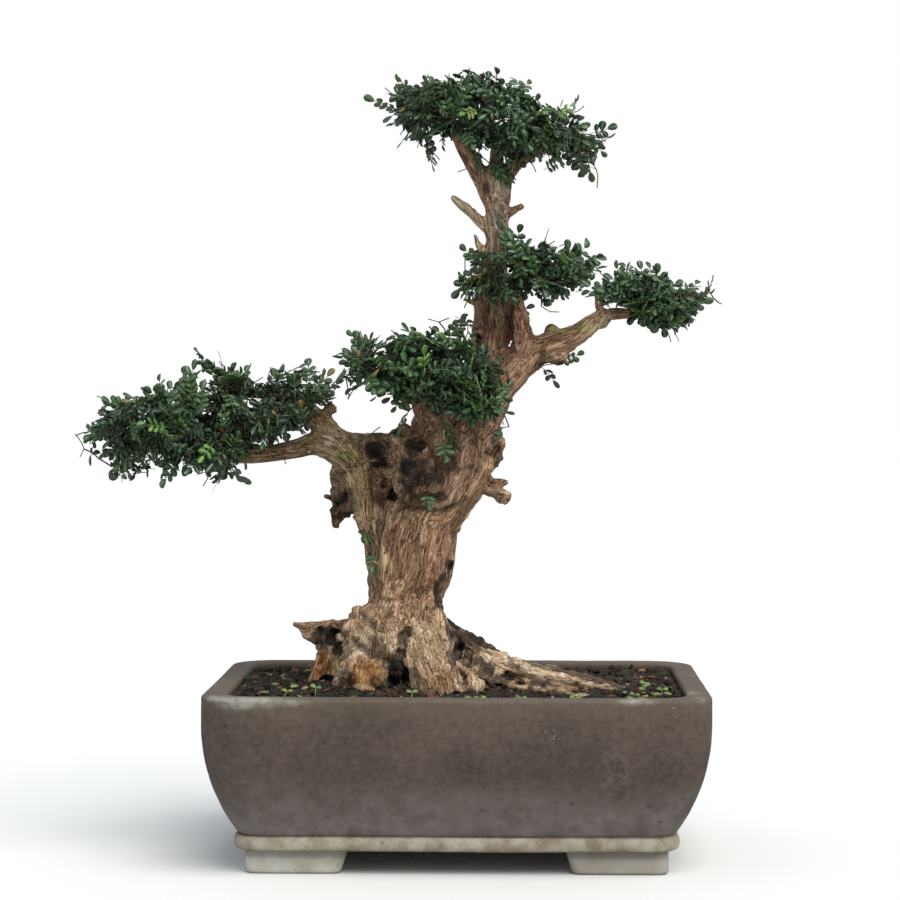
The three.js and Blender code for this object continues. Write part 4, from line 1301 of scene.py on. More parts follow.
def makeBark():
    # ridges, lumps and marks on the smooth skin
    points, height = woodPoints, woodPoints[:, 2]
    tensor, thick, mixed = measureLooks(points)
    push, paintedShade, turned = measureMarks(points, woodNormals)
    heading = np.linalg.eigh(tensor + turned)[1][:, :, 2]
    wobble = np.stack([noise(points, bark["wobbleSize"], seed) for seed in (41, 42, 43)], 1)
    heading = unit(heading + bark["wobble"] * wobble * np.sign(heading @ up + 0.01)[:, None])
    mixed = measureStains(points, mixed)
    base = smoothStep(*bark["base"], height)
    mixed["pale"] = np.maximum(mixed["pale"], bark["basePale"] * base)
    mixed["gnarl"] = np.maximum(mixed["gnarl"], bark["baseGnarl"] * base)
    gnarl = mixed.pop("gnarl")
    bulk = smoothStep(4, 34, thick)
    muscle, coarse, ridge = (streaks(points, heading, *sizes) for sizes in bark["grain"])
    crack = np.exp(-((coarse / bark["crackWidth"]) ** 2))
    fineCrack = np.exp(-((ridge / bark["fineCrackWidth"]) ** 2))
    lump = layered(points, 24, 5)
    knobbly = layered(points, 10, 8, 2)
    ragged = np.abs(noise(points, 6.5, 9)) + 0.5 * np.abs(noise(points, 4.4, 10))
    upper = np.prod([smoothStep(*heights, height) for heights in bark["upper"]], axis=0)
    lift = bulk * (bark["muscle"] * muscle + bark["coarse"] * coarse - bark["crack"] * crack - bark["sink"])
    lift += (0.25 + 0.6 * bulk) * (bark["ridge"] * ridge - bark["fineCrack"] * fineCrack)
    rough = bark["lump"] * lump + bark["knob"] * knobbly - bark["ragged"] * (ragged - 0.5)
    lift += gnarl * rough * np.clip(thick / 13, 0.3, 1)
    lift -= bark["upperCrack"] * upper * crack
    lift = np.clip(lift, -0.3 * thick - 1 - gnarl, 0.24 * thick + 1.2 + gnarl)
    grain = 0.5 + 0.12 * coarse + 0.12 * ridge - 0.24 * crack - 0.08 * fineCrack
    grain += gnarl * (0.2 * (lump + knobbly) - 0.35 * (ragged - 0.5))
    values = {"grain": grain, "paintedShade": paintedShade, "darkerNearSoil": smoothStep(*bark["darkerNearSoil"], height), **mixed}
    values = {key: np.clip(value, 0, 1) for key, value in values.items()}
    values["growth"] = heading
    return points + woodNormals * (lift + push)[:, None], values


def makeBarkMaterial():
    material, board = newMaterial("bark", (150, 124, 100), 0.86)
    growth = board.attribute("growth", "Vector")
    fine = board.group(fibres, Direction=growth, Width=1.7, Line=0.02)
    plates = board.group(fibres, Direction=growth, Width=3.5, Line=0.02)
    speckle = board.noise(board.place(), 300.0, 3.0, 0.6)
    speckled = board.minus(speckle, 0.5)
    grain = 0.08
    for source, share in (
        (board.attribute("grain"), 0.55), (fine["Value"], 0.4), (plates["Value"], 0.26), (speckled, 0.16),
        (plates["Lines"], -0.46), (fine["Lines"], -0.2),
    ):
        grain = board.plus(grain, board.times(source, share))
    tones = {
        "plain": ((82, 55, 41), (176, 137, 107), (248, 214, 175)),
        "olive": ((70, 54, 36), (158, 134, 100), (230, 208, 158)),
        "red": ((88, 53, 41), (192, 140, 112), (252, 210, 178)),
        "pale": ((124, 103, 82), (214, 188, 156), (255, 248, 228)),
        "orange": ((60, 35, 18), (146, 98, 54), (208, 156, 96)),
        # dark bark, also laid on as painted shade
        "darkAndPaintedShade": ((22, 15, 13), (53, 38, 31), (110, 84, 68)),
        "lichen": ((92, 92, 44), (158, 160, 84), (214, 208, 138)),
    }
    colour = None
    for look, (furrow, flank, ridge) in tones.items():
        tone = board.group(grainTones, Grain=grain, Furrow=furrow, Flank=flank, Ridge=ridge)["Colour"]
        colour = tone if colour is None else board.mix(board.attribute(look), colour, tone)
    blotch = board.mottled((216, 212, 206), (255, 252, 248), 30.0, 0.3)
    mossy = board.times(board.group(settled, Amount=0.42, Size=9.0)["Mask"], board.attribute("olive"))
    colour = board.layers(
        board.mix(1.0, colour, blotch, "MULTIPLY"),
        (board.times(mossy, 0.6), (146, 142, 74)),
        # darker towards the soil
        (board.times(board.attribute("darkerNearSoil"), 0.6), (38, 28, 21)),
        # painted shade in hollows and creases
        (board.times(board.attribute("paintedShade"), 0.86), (24, 17, 14)),
    )
    relief = board.plus(board.plus(fine["Value"], board.times(speckle, 0.4)), plates["Value"])
    relief = board.minus(relief, board.times(plates["Lines"], 1.2))
    board.finish(colour, board.spread(speckle, 0.3, 0.7, 0.78, 0.95), relief, 0.0005, 0.8)
    return material


barkPoints, barkValues = makeBark()
barkPart = {"points": barkPoints, "faces": [woodFaces], "values": barkValues}
makePiece("tree", [{"material": makeBarkMaterial(), **barkPart}], ["wood"])


# Soil
soil = {
    "edgeDrop": 9,
    "mound": 13,
    "moundReach": 130,
    "moundMiddle": (-50, -10),
    "ripple": 1.6,
    "gap": 0.35,
    "gridStep": 2.6,
    "crumb": 1.92,
    "levels": (150, 110),  # heights of the rings down its side
}


def soilHeight(x, y):
    middleX, middleY = soil["moundMiddle"]
    away = np.hypot(x - middleX, (y - middleY) * 1.3) / soil["moundReach"]
    ripple = soil["ripple"] * np.sin(x * 0.09 + 1) * np.cos(y * 0.11 - 0.5)
    return pot["height"] - soil["edgeDrop"] + soil["mound"] * np.exp(-away * away) + ripple


def makeSoilMaterial():
    material, board = newMaterial("pottingSoil", (44, 34, 28), 0.95)
    colour = board.layers(
        board.mottled((16, 12, 10), (62, 46, 36), 5.0, 0.2),
        (board.group(pitting, Spacing=6.0, Share=0.12)["Mask"], (112, 76, 52)),
        (board.times(board.group(settled, Amount=0.35, Size=16.0)["Mask"], 0.3), (50, 60, 34)),
    )
    board.finish(colour, height=board.noise(board.place(), 420.0, 4.0, 0.7), distance=0.0015)
    return material


def makeSoil():
    top = pot["height"] - soil["edgeDrop"]
    inset = float(innerInset(top)) + soil["gap"]
    halfX, halfY = pot["length"] / 2 - inset, pot["depth"] / 2 - inset
    radius = pot["cornerRadius"] - inset / 2
    countX, countY = (2 * round(half / soil["gridStep"]) for half in (halfX, halfY))
    x, y = np.meshgrid(np.linspace(-halfX, halfX, countX + 1), np.linspace(-halfY, halfY, countY + 1))
    past = np.stack([np.abs(x) - halfX + radius, np.abs(y) - halfY + radius], -1) / radius
    corner = (past > 0).all(axis=-1)
    rounder = past.max(axis=-1) / np.maximum(np.linalg.norm(past, axis=-1), 1e-9)
    x = np.where(corner, np.sign(x) * (halfX - radius + past[..., 0] * rounder * radius), x)
    y = np.where(corner, np.sign(y) * (halfY - radius + past[..., 1] * rounder * radius), y)
    flat = np.stack([x, y, np.zeros_like(x)], -1).reshape(-1, 3)
    edge = np.minimum(halfX - np.abs(flat[:, 0]), halfY - np.abs(flat[:, 1]))
    crumbly = np.abs(noise(flat, 7, 31)) * 1.5 + np.abs(noise(flat, 3.6, 32)) + 0.8 * noise(flat, 18, 33)
    z = soilHeight(flat[:, 0], flat[:, 1]) + soil["crumb"] * crumbly
    z = np.where(edge < 0.5, top, z)
    surface = np.column_stack([flat[:, :2], z])
    index = np.arange(len(flat)).reshape(x.shape)
    faces = np.stack([index[:-1, :-1], index[:-1, 1:], index[1:, 1:], index[1:, :-1]], -1).reshape(-1, 4)
    border = np.concatenate([index[0, :-1], index[:-1, -1], index[-1, :0:-1], index[:0:-1, 0]])
    levels = [surface[border]]
    for level in (*soil["levels"], pot["floorTop"] + soil["gap"]):
        inner = float(innerInset(level)) + soil["gap"]
        scale = [(pot["length"] / 2 - inner) / halfX, (pot["depth"] / 2 - inner) / halfY]
        levels.append(np.column_stack([surface[border][:, :2] * scale, np.full(len(border), level)]))
    walls = skinned((levels + closedEnd(levels[-1], 2))[::-1])
    material = makeSoilMaterial()
    parts = [
        {"points": points, "faces": [faces], "material": material}
        for points, faces in ((surface, faces), walls)
    ]
    makePiece("pottingSoil", parts, ["soil"])


makeSoil()


# One leaflet, as a closed lens of a few faces
leaf = {
    "pairs": (2, 3),
    "stalk": (4, 8),
    "pitch": 0.6,  # distance between pairs, as a share of the leaflets' length
    "length": (8.0, 12.0),
    "widthShare": 0.70,
    "thickness": 0.5,
    "pairTilt": 0.55,
    "boxGap": 6,
    "lastScale": 1.08,
    "fits": 0.8,  # share of a leaf's leaflets that have to fit
    "ribWidth": 1.15,
    "fold": 0.22,
    "arch": 0.16,
    "droop": 0.5,
}
leafletStations = np.array([0.12, 0.42, 0.74, 0.94])
leafletWidths = np.array([0.46, 0.93, 1.0, 0.58])


def leafletTemplate():
    # along, across and rise of one leaflet of length 1 and half width 1, and its faces
    count = len(leafletStations)
    points = [(0, 0, 0)]
    for side in (1, -1):
        points += [(t, side * w, 0) for t, w in zip(leafletStations, leafletWidths)]
    for rise in (1, -1):
        points += [(t, 0, rise) for t in leafletStations]
    points.append((1.0, 0, 0))
    left, right, top, bottom, tip = (1 + count * i for i in range(5))
    faces = []
    for middle, flip in ((top, False), (bottom, True)):
        for edge, other in ((left, False), (right, True)):
            cells = [(0, middle, edge, edge)]
            cells += [(middle + i, middle + i + 1, edge + i + 1, edge + i) for i in range(count - 1)]
            cells.append((middle + count - 1, tip, edge + count - 1, edge + count - 1))
            faces += [cell[::-1] if flip != other else cell for cell in cells]
    return np.array(points, float), faces


def splitFaces(faces):
    # three-cornered faces and four-cornered ones apart
    triangles, squares = [], []
    for face in faces:
        corners = list(dict.fromkeys(face))
        (triangles if len(corners) == 3 else squares).append(corners)
    return np.array(triangles), np.array(squares)


leafletPoints, leafletFaces = leafletTemplate()
leafletFaces = splitFaces(leafletFaces)


def bladeAt(foot, heading, facing, length, halfWidth):
    along, aside, rise = leafletPoints.T
    across = np.cross(facing, heading)
    points = foot + (length * along)[:, None] * heading + (halfWidth * aside)[:, None] * across
    lift = 0.15 * halfWidth * np.abs(aside) - 0.12 * length * along**2 + leaf["thickness"] / 2 * rise
    return points + lift[:, None] * facing


# Loose bits on the soil: bark chips, crumbs, moss, fine roots and seedlings
litter = {
    "seed": 21,
    "chips": 1500,
    "chipSize": (2.2, 7.5),
    "chipCorners": 6,
    "chipTilt": 0.42,
    "crumbs": (1700, (1.0, 2.6), 0.8, 0.16),  # how many, sizes, flatness and raggedness
    "moss": (70, (3.0, 7.5), 0.5, 0.12),
    "roots": 46,
    "rootBounds": (222, 152),
    "rootTone": 0.8,
    "woodGap": 1.5,
    "edgeGap": 6,
    "corner": 30,
    # slope, upper side, length, and width as a share, of a seedling's leaf and of a fallen one
    "seedLeaf": {"rise": (-0.1, 0.5), "lean": (0, -0.8, 0.7), "length": (5, 7), "width": 0.4},
    "fallenLeaf": {"rise": (0, 0.3), "lean": (0, -0.7, 1), "length": (8, 12), "width": 0.34},
    "fallenHeight": 4,
}

# seedlings by the pixel and depth where each stands, with the height of its stem
seedlings = [
    (314, 697, -150, 13), (413, 699, -158, 9), (283, 696, -140, 6), (524, 698, -150, 4),
    (575, 699, -158, 6), (646, 684, -60, 8), (661, 687, -90, 6), (480, 698, -158, 3),
    (636, 694, -130, 4),
]

# leaves fallen on the soil, by pixel and depth
fallen = [
    (640, 684, -90), (647, 688, -110), (654, 681, -60), (662, 684, -80), (668, 680, -50),
    (655, 690, -120), (634, 690, -120), (672, 686, -90), (626, 686, -90), (650, 676, -20),
    (638, 679, -40), (300, 695, -140), (258, 690, -110), (270, 682, -60), (606, 694, -140),
    (590, 697, -150), (548, 698, -155), (466, 697, -155), (474, 695, -150), (290, 686, -80),
]


def scatter(count, random):
    # places on the soil clear of the wood
    halves = np.array([pot["length"], pot["depth"]]) / 2 - pot["lipWidth"] - litter["edgeGap"]
    flat = random.uniform(-1, 1, (count * 2, 2)) * halves
    past = np.maximum(np.abs(flat) - halves + litter["corner"], 0)
    flat = flat[np.hypot(*past.T) < litter["corner"]]
    places = np.column_stack([flat, soilHeight(*flat.T)])
    return places[measureWood(places) > litter["woodGap"]][:count]


def turnedAxes(facing, random):
    # two directions across each facing, turned by chance
    guide = unit(random.normal(0, 1, facing.shape))
    across = unit(np.cross(facing, guide))
    return across, np.cross(facing, across)


def makeChips(random):
    places = scatter(litter["chips"], random)
    count = len(places)
    facing = unit(up + random.normal(0, litter["chipTilt"], (count, 3)))
    across, along = turnedAxes(facing, random)
    corners = litter["chipCorners"]
    angles = np.arange(corners) * 2 * np.pi / corners + random.uniform(0, 1, (count, 1))
    reach = random.uniform(0.65, 1.1, (count, corners))
    small, large = litter["chipSize"]
    size = small + (large - small) * random.random(count) ** 2.2
    x = np.cos(angles) * reach * size[:, None]
    y = np.sin(angles) * reach * (size * random.uniform(0.3, 0.8, count))[:, None]
    rim = x[..., None] * along[:, None] + y[..., None] * across[:, None]
    thick = (size * random.uniform(0.1, 0.22, count))[:, None, None] * facing[:, None]
    centre = (places + up * (1.4 + 0.25 * size)[:, None])[:, None]
    points = np.concatenate([centre + rim + thick, centre + 0.92 * rim - thick], axis=1)
    side = np.arange(corners)
    following = (side + 1) % corners
    walls = np.stack([side, side + corners, following + corners, following], 1)
    lids = np.array([[0, 1, 2, 3], [0, 3, 4, 5], [9, 8, 7, 6], [11, 10, 9, 6]])
    faces = np.vstack([walls, lids])
    firsts = (np.arange(count) * 2 * corners)[:, None, None]
    tone = np.repeat(random.random(count), 2 * corners)
    return points.reshape(-1, 3), (faces[None] + firsts).reshape(-1, 4), tone


def makeLumps(count, sizes, flatness, raggedness, random):
    # rounded lumps from a cube whose faces are split in four
    steps = (-1, 0, 1)
    cube = np.array([p for p in itertools.product(steps, repeat=3) if any(abs(c) == 1 for c in p)], float)
    index = {tuple(p): i for i, p in enumerate(cube)}
    quads = []
    for axis, sign in itertools.product(range(3), (-1, 1)):
        for a, b in itertools.product((-1, 0), repeat=2):
            corners = [(a, b), (a + 1, b), (a + 1, b + 1), (a, b + 1)]
            if sign < 0:
                corners.reverse()
            quads.append([index[tuple(np.roll([sign, p, q], axis).astype(float))] for p, q in corners])
    ball = unit(cube)
    places = scatter(count, random)
    size = random.uniform(*sizes, len(places))
    facing = unit(up + random.normal(0, 0.2, (len(places), 3)))
    across, along = turnedAxes(facing, random)
    stretch = size[:, None] * (1 + raggedness * random.normal(0, 1, (len(places), len(ball))))
    local = ball[None] * stretch[..., None]
    points = local[..., :1] * across[:, None] + local[..., 1:2] * along[:, None]
    points = points + flatness * local[..., 2:] * facing[:, None]
    points = points + (places + up * (1.0 + 0.3 * size)[:, None])[:, None]
    firsts = (np.arange(len(places)) * len(ball))[:, None, None]
    tone = np.repeat(random.random(len(places)), len(ball))
    return points.reshape(-1, 3), (np.array(quads)[None] + firsts).reshape(-1, 4), tone


def makeFineRoots(random):
    shapes = []
    for place in scatter(litter["roots"], random):
        turn = random.uniform(0, 2 * np.pi)
        line = [place + up * 2]
        for _ in range(random.integers(3, 7)):
            turn += random.normal(0, 0.7)
            step = np.array([math.cos(turn), math.sin(turn), 0]) * random.uniform(4, 8)
            line.append(line[-1] + step)
        line = np.array(line)
        line[:, 2] = soilHeight(line[:, 0], line[:, 1]) + random.uniform(1.8, 5, len(line))
        if (np.abs(line[:, :2]) < litter["rootBounds"]).all():
            path = smoothPath(line, 3)
            shapes.append(tube(path, np.linspace(0.7, 0.3, len(path)), 4))
    return gathered(shapes)


def looseLeaf(foot, turn, kind, random):
    heading = unit(np.array([math.cos(turn), math.sin(turn), random.uniform(*kind["rise"])]))
    facing = squared(unit(np.array(kind["lean"]) + random.normal(0, 0.3, 3)), heading)
    length = random.uniform(*kind["length"])
    return bladeAt(foot, heading, facing, length, kind["width"] * length)


def footAt(place, above=0):
    foot = placeAt(*place)
    foot[2] = soilHeight(foot[0], foot[1]) + above
    return foot


def makeSeedlings(random):
    # stems, and the leaves on them and on the soil
    stems, blades = [], []
    for *place, tall in seedlings:
        foot = footAt(place)
        top = foot + np.array([random.normal(0, 1.5), random.normal(0, 1.5), tall + 3])
        middle = (foot + top) / 2 + random.normal(0, 0.6, 3)
        stems.append(tube(np.array([foot, middle, top]), [0.5, 0.45, 0.4], 4))
        turn = random.uniform(-0.7, 0.7)
        blades += [looseLeaf(top, turn + side, litter["seedLeaf"], random) for side in (0, np.pi)]
    for place in fallen:
        foot = footAt(place, litter["fallenHeight"])
        blades.append(looseLeaf(foot, random.uniform(0, 2 * np.pi), litter["fallenLeaf"], random))
    return gathered(stems), blades


def makeLitterMaterials():
    chip, board = newMaterial("barkChip", (90, 62, 46), 0.9)
    tone = board.attribute("tone")
    grain = board.noise(board.place(), 600.0, 3.0, 0.6)
    colour = board.layers(
        board.mix(board.spread(tone, 0.0, 0.8), (24, 18, 15), (66, 47, 36)),
        (board.spread(tone, 0.84, 0.9), (128, 82, 60)),
        (board.spread(tone, 0.93, 0.97), (176, 148, 114)),
        (board.spread(grain, 0.35, 0.7, 0.0, 0.4), (24, 18, 15)),
    )
    board.finish(colour, height=grain, distance=0.0007)
    moss, board = newMaterial("moss", (70, 84, 44), 0.95)
    fuzz = board.noise(board.place(), 1100.0, 3.0, 0.7)
    colour = board.mix(board.attribute("tone"), (40, 52, 32), (92, 98, 66))
    colour = board.mix(board.spread(fuzz, 0.4, 0.62, 0.0, 0.7), (26, 32, 20), colour)
    board.finish(colour, height=fuzz, distance=0.0016)
    seedling, board = newMaterial("seedling", (116, 148, 72), 0.5)
    board.finish(board.mottled((88, 122, 58), (160, 178, 112), 7.0, 0.2))
    return chip, moss, seedling


def makeLitter():
    random = np.random.default_rng(litter["seed"])
    chip, moss, seedling = makeLitterMaterials()
    shapes = [(*makeChips(random), chip)]
    shapes.append((*makeLumps(*litter["crumbs"], random), chip))
    shapes.append((*makeLumps(*litter["moss"], random), moss))
    points, faces = makeFineRoots(random)
    shapes.append((points, faces, np.full(len(points), litter["rootTone"]), chip))
    parts = [
        {"points": points, "faces": [faces], "material": material, "values": {"tone": tone}}
        for points, faces, tone, material in shapes
    ]
    (points, faces), blades = makeSeedlings(random)
    parts.append({"points": points, "faces": [faces], "material": seedling})
    parts += [{"points": blade, "faces": leafletFaces, "material": seedling} for blade in blades]
    makePiece("litter", parts)


makeLitter()


# Foliage
# by pixel: outlines, gaps with their reach, and tips in front of the pad (cover) or with young leaves
# (bright); sprays and bare twigs end at a pixel and depth, also outside the outline
pads = {
    "foliageApex": {
        "replaces": ["foliage_apex"],
        "outline": [
            (388, 112), (391, 92), (402, 84), (416, 81), (432, 79), (448, 73), (466, 73), (484, 72),
            (496, 77), (508, 82), (523, 83), (530, 92), (542, 101), (556, 102), (570, 105), (580, 112),
            (586, 126), (602, 138), (606, 152), (600, 168), (588, 172), (568, 173), (552, 166),
            (540, 160), (528, 160), (514, 168), (498, 164), (486, 158), (472, 150), (458, 146),
            (446, 141), (430, 137), (412, 138), (398, 128),
        ],
        "depth": (4, 56),
        "limbs": ["apexLeft", "apexRight", "apexMiddle", "apexBack"],
        "tips": 165,
        "gaps": [
            (486, 154, 2.5), (475, 150, 1.5), (504, 160, 2), (497, 121, 1), (521, 134, 1.5),
            (475, 119, 1), (418, 117, 1), (410, 126, 1),
        ],
        "sprays": [
            (597, 188, 0), (440, 160, -10), (424, 146, -10), (458, 172, -4), (516, 180, -8),
            (400, 135, -10), (606, 136, 0), (584, 106, -10), (523, 82, -20), (484, 72, -20),
            (468, 71, 0), (384, 106, 0), (398, 84, -6), (492, 166, -14), (486, 160, -16), (508, 170, 0),
            (478, 154, -14),
        ],
        "cover": [
            (498, 92), (492, 100), (504, 106), (496, 112), (508, 116), (486, 94), (512, 98), (440, 92),
            (430, 98), (456, 94), (416, 98), (470, 92), (530, 114), (560, 134), (464, 130), (520, 148),
            (545, 148), (580, 156), (500, 140), (484, 136), (450, 118), (510, 128),
        ],
        "bare": [(536, 172, 0), (381, 106, 6), (449, 74, -10), (470, 68, 0)],
        "bright": [(540, 112), (478, 110), (556, 120)],
        "seed": 11,
    },
    "foliageMiddle": {
        "replaces": ["foliage_middle"],
        "outline": [
            (468, 262), (476, 254), (488, 248), (503, 241), (520, 239), (540, 244), (556, 248),
            (574, 254), (588, 266), (592, 278), (586, 290), (574, 298), (556, 300), (540, 297),
            (524, 303), (506, 304), (488, 300), (474, 293), (468, 282),
        ],
        "depth": (-34, 48),
        "limbs": ["middleBranch", "middleSide"],
        "tips": 84,
        "gaps": [(545, 266, 1.5), (484, 262, 1.5)],
        "sprays": [
            (559, 312, -40), (458, 284, -34), (465, 258, -40), (464, 292, -30), (513, 235, -30),
            (555, 241, -30), (577, 250, -30), (597, 268, -30),
        ],
        "cover": [(500, 270), (520, 262), (545, 280), (570, 276), (486, 284)],
        "bare": [(541, 306, -40), (602, 275, -30), (508, 236, -30)],
        "bright": [(465, 270), (470, 286), (500, 250), (541, 262), (556, 262), (530, 272)],
        "seed": 12,
    },
    "foliageRight": {
        "replaces": ["foliage_right"],
        "outline": [
            (606, 288), (618, 281), (632, 283), (648, 280), (662, 278), (680, 282), (700, 281),
            (708, 290), (704, 304), (700, 318), (690, 327), (672, 331), (655, 330), (642, 327),
            (632, 318), (616, 312), (606, 300),
        ],
        "depth": (10, 46),
        "limbs": ["rightBranch"],
        "tips": 80,
        "gaps": [(622, 302, 1)],
        "sprays": [
            (641, 275, 0), (653, 280, -6), (621, 278, 4), (671, 342, 4), (719, 303, 6), (600, 292, -4),
            (712, 284, 0),
        ],
        "cover": [
            (614, 296), (624, 290), (628, 300), (636, 308), (642, 318), (650, 300), (664, 312),
            (684, 300),
        ],
        "bare": [(657, 276, -10), (664, 277, -14), (598, 293, 0), (722, 304, 6)],
        "bright": [(640, 292), (652, 286)],
        "seed": 13,
    },
    "foliageFront": {
        "replaces": ["foliage_front"],
        "outline": [
            (350, 366), (356, 346), (372, 335), (388, 330), (402, 330), (420, 328), (440, 328),
            (460, 334), (476, 343), (494, 352), (508, 366), (511, 385), (509, 402), (504, 414),
            (490, 424), (470, 424), (450, 418), (434, 414), (418, 410), (402, 408), (390, 402),
            (376, 394), (362, 386), (352, 380),
        ],
        "depth": (-62, 50),
        "limbs": ["frontBranch", "frontSide"],
        "tips": 140,
        "gaps": [(462, 361, 2), (402, 333, 2), (384, 348, 1.5)],
        "sprays": [
            (454, 454, -84), (442, 440, -84), (487, 436, -60), (509, 427, -50), (360, 331, -60),
            (468, 325, -40), (346, 378, -60), (348, 390, -62), (349, 356, -50), (399, 424, -60),
        ],
        "cover": [
            (430, 372), (444, 374), (420, 384), (436, 386), (452, 382), (410, 372), (424, 396),
            (404, 392), (390, 388), (376, 384), (368, 372), (384, 360), (440, 400), (456, 412),
            (396, 404), (410, 410), (470, 410), (486, 406), (362, 360), (400, 350),
        ],
        "bare": [(449, 318, -70), (439, 322, -60), (349, 396, -66), (428, 319, -60)],
        "bright": [
            (470, 372), (482, 396), (462, 398), (414, 344), (440, 348), (398, 350), (425, 372),
            (480, 352),
        ],
        "seed": 14,
    },
    "foliageLeft": {
        "replaces": ["foliage_left"],
        "outline": [
            (80, 436), (88, 424), (98, 412), (102, 400), (116, 394), (134, 388), (150, 388), (166, 388),
            (186, 380), (200, 386), (208, 370), (222, 364), (238, 370), (256, 372), (276, 370),
            (296, 372), (314, 374), (328, 384), (332, 396), (326, 408), (316, 418), (308, 428),
            (296, 438), (278, 446), (260, 454), (246, 464), (232, 472), (212, 474), (190, 470),
            (168, 464), (150, 466), (134, 468), (118, 462), (102, 452), (88, 446),
        ],
        "depth": (-20, 62),
        "limbs": ["leftBranch", "leftUpper"],
        "tips": 215,
        "gaps": [
            (221, 416, 3), (240, 422, 2), (262, 441, 2.5), (254, 408, 2), (280, 397, 2.5),
            (148, 453, 2.5), (100, 447, 2), (108, 424, 2),
        ],
        "sprays": [
            (72, 434, -24), (84, 449, -20), (204, 362, -4), (214, 362, -20), (230, 369, -30),
            (203, 486, -30), (208, 478, -34), (232, 478, -30), (134, 474, -24), (148, 472, -30),
            (111, 466, -20), (97, 396, -10), (184, 378, -10), (168, 386, -10), (300, 372, 10),
            (271, 367, 0), (317, 371, 10), (333, 394, 6), (176, 474, -40), (286, 464, -30),
        ],
        "cover": [
            (150, 452), (178, 456), (205, 458), (228, 456), (248, 446), (120, 444), (130, 420),
            (190, 430), (240, 404), (276, 408), (300, 410), (104, 430), (94, 436), (160, 410),
        ],
        "bare": [(80, 457, -20), (251, 363, -10), (145, 386, -20), (198, 407, -76), (98, 458, -20)],
        "bright": [(171, 428), (171, 440), (126, 396), (140, 400), (213, 444)],
        "seed": 15,
    },
    "trunkSprigs": {
        "replaces": [],
        "outline": [],
        "depth": (0, 1),
        "limbs": ["trunk", "secondStem", "leftBranch", "rightBranch", "leftUpper"],
        "tips": 0,
        "gaps": [],
        "sprays": [
            (372, 551, -44), (340, 490, -8), (473, 330, -14), (541, 366, 0), (560, 364, 0),
            (510, 336, -6), (427, 495, -74), (508, 318, -6),
        ],
        "sprayReach": 21,
        "cover": [],
        "bare": [(380, 427, -10)],
        "bright": [],
        "seed": 16,
    },
}

twig = {
    "tipRadius": 0.55,
    "growth": 0.34,
    "step": 11,
    "sides": 6,
    "leavesPerTip": (2, 4),
    "leavesPerSpray": (1, 2),
    "leafSpan": 26,
    "insideBy": 10,  # pixels from the outline to the nearest twig tip
    "overshoot": (-3, 6),  # pixels that a leaf may reach past the outline, by chance
    "sprayReach": 14,
    "bareShare": 0.35,  # leafless twigs inside a pad for each leafy one
    "brightTone": 1.2,
    "tones": 0.85,  # how far the other tones reach
    "depthReach": 42,  # pixels inwards over which a pad gains its depth
    "leafyDepth": 0.85,  # shares of that depth for tips
    "bareDepth": 0.6,
    "coverDepth": 0.9,
    "tipGap": 6,
    "boxGap": 3,
    "bend": 0.10,
    "turn": 2.4,  # between the leaves along a twig, in radians
    "lastLean": 0.25,  # how far the last leaf and the others lean out from the twig
    "lean": 0.9,
}


def insideOutline(pixels, outline):
    inside = np.zeros(len(pixels), bool)
    for (u0, v0), (u1, v1) in zip(outline, outline[1:] + outline[:1]):
        crosses = (v0 > pixels[:, 1]) != (v1 > pixels[:, 1])
        where = u0 + (pixels[:, 1] - v0) / ((v1 - v0) or 1e-9) * (u1 - u0)
        inside ^= crosses & (pixels[:, 0] < where)
    return inside


def edgeDistance(pixels, outline):
    # pixels inside the outline count from its edge inwards, those outside are negative
    best = np.full(len(pixels), 1e4)
    for start, end in zip(outline, outline[1:] + outline[:1]):
        start, span = np.array(start, float), np.array(end, float) - start
        share = np.clip((pixels - start) @ span / (span @ span), 0, 1)
        best = np.minimum(best, np.linalg.norm(pixels - start - share[:, None] * span, axis=1))
    return np.where(insideOutline(pixels, outline), best, -best)


def depthShare(pad, pixels):
    # how much of the pad's depth there is behind each pixel, and the pixels' distance from the edge
    inward = edgeDistance(pixels, pad["outline"])
    return np.sqrt(1 - (1 - np.clip(inward / twig["depthReach"], 0, 1)) ** 2), inward


def tipPlaces(pad, random):
    # places of twig tips, with the tone and number of the leaves on each
    middle, half = pad["depth"]
    bareCount = round(pad["tips"] * twig["bareShare"])
    places = []

    def leafyTip(place, leaves, tone=None):
        tone = random.random() * twig["tones"] if tone is None else tone
        return place, tone, random.integers(*twig[leaves], endpoint=True)

    rounds = ((pad["tips"], twig["leafyDepth"], True), (bareCount, twig["bareDepth"], False))
    for count, depth, leafy in rounds:
        found = 0
        while found < count:
            low, high = np.min(pad["outline"], axis=0), np.max(pad["outline"], axis=0)
            pixel = low + (high - low) * random.random(2)
            deep, inward = (value[0] for value in depthShare(pad, pixel[None]))
            if inward < twig["insideBy"] * random.uniform(0.4, 1.1):
                continue
            place = placeAt(*pixel, middle + half * deep * random.uniform(-1, 1) * depth)
            if min([np.linalg.norm(place - other[0]) for other in places], default=99) > twig["tipGap"]:
                places.append(leafyTip(place, "leavesPerTip") if leafy else (place, 0, 0))
                found += 1
    places += [leafyTip(placeAt(*spray), "leavesPerSpray") for spray in pad["sprays"]]
    places += [(placeAt(*tip), 0, 0) for tip in pad["bare"]]
    kinds = (("cover", "leavesPerTip", None), ("bright", "leavesPerSpray", twig["brightTone"]))
    for kind, leaves, tone in kinds:
        for pixel in pad[kind]:
            deep = depthShare(pad, np.array([pixel], float))[0][0]
            place = placeAt(*pixel, middle - half * deep * twig["coverDepth"])
            places.append(leafyTip(place, leaves, tone))
    return places


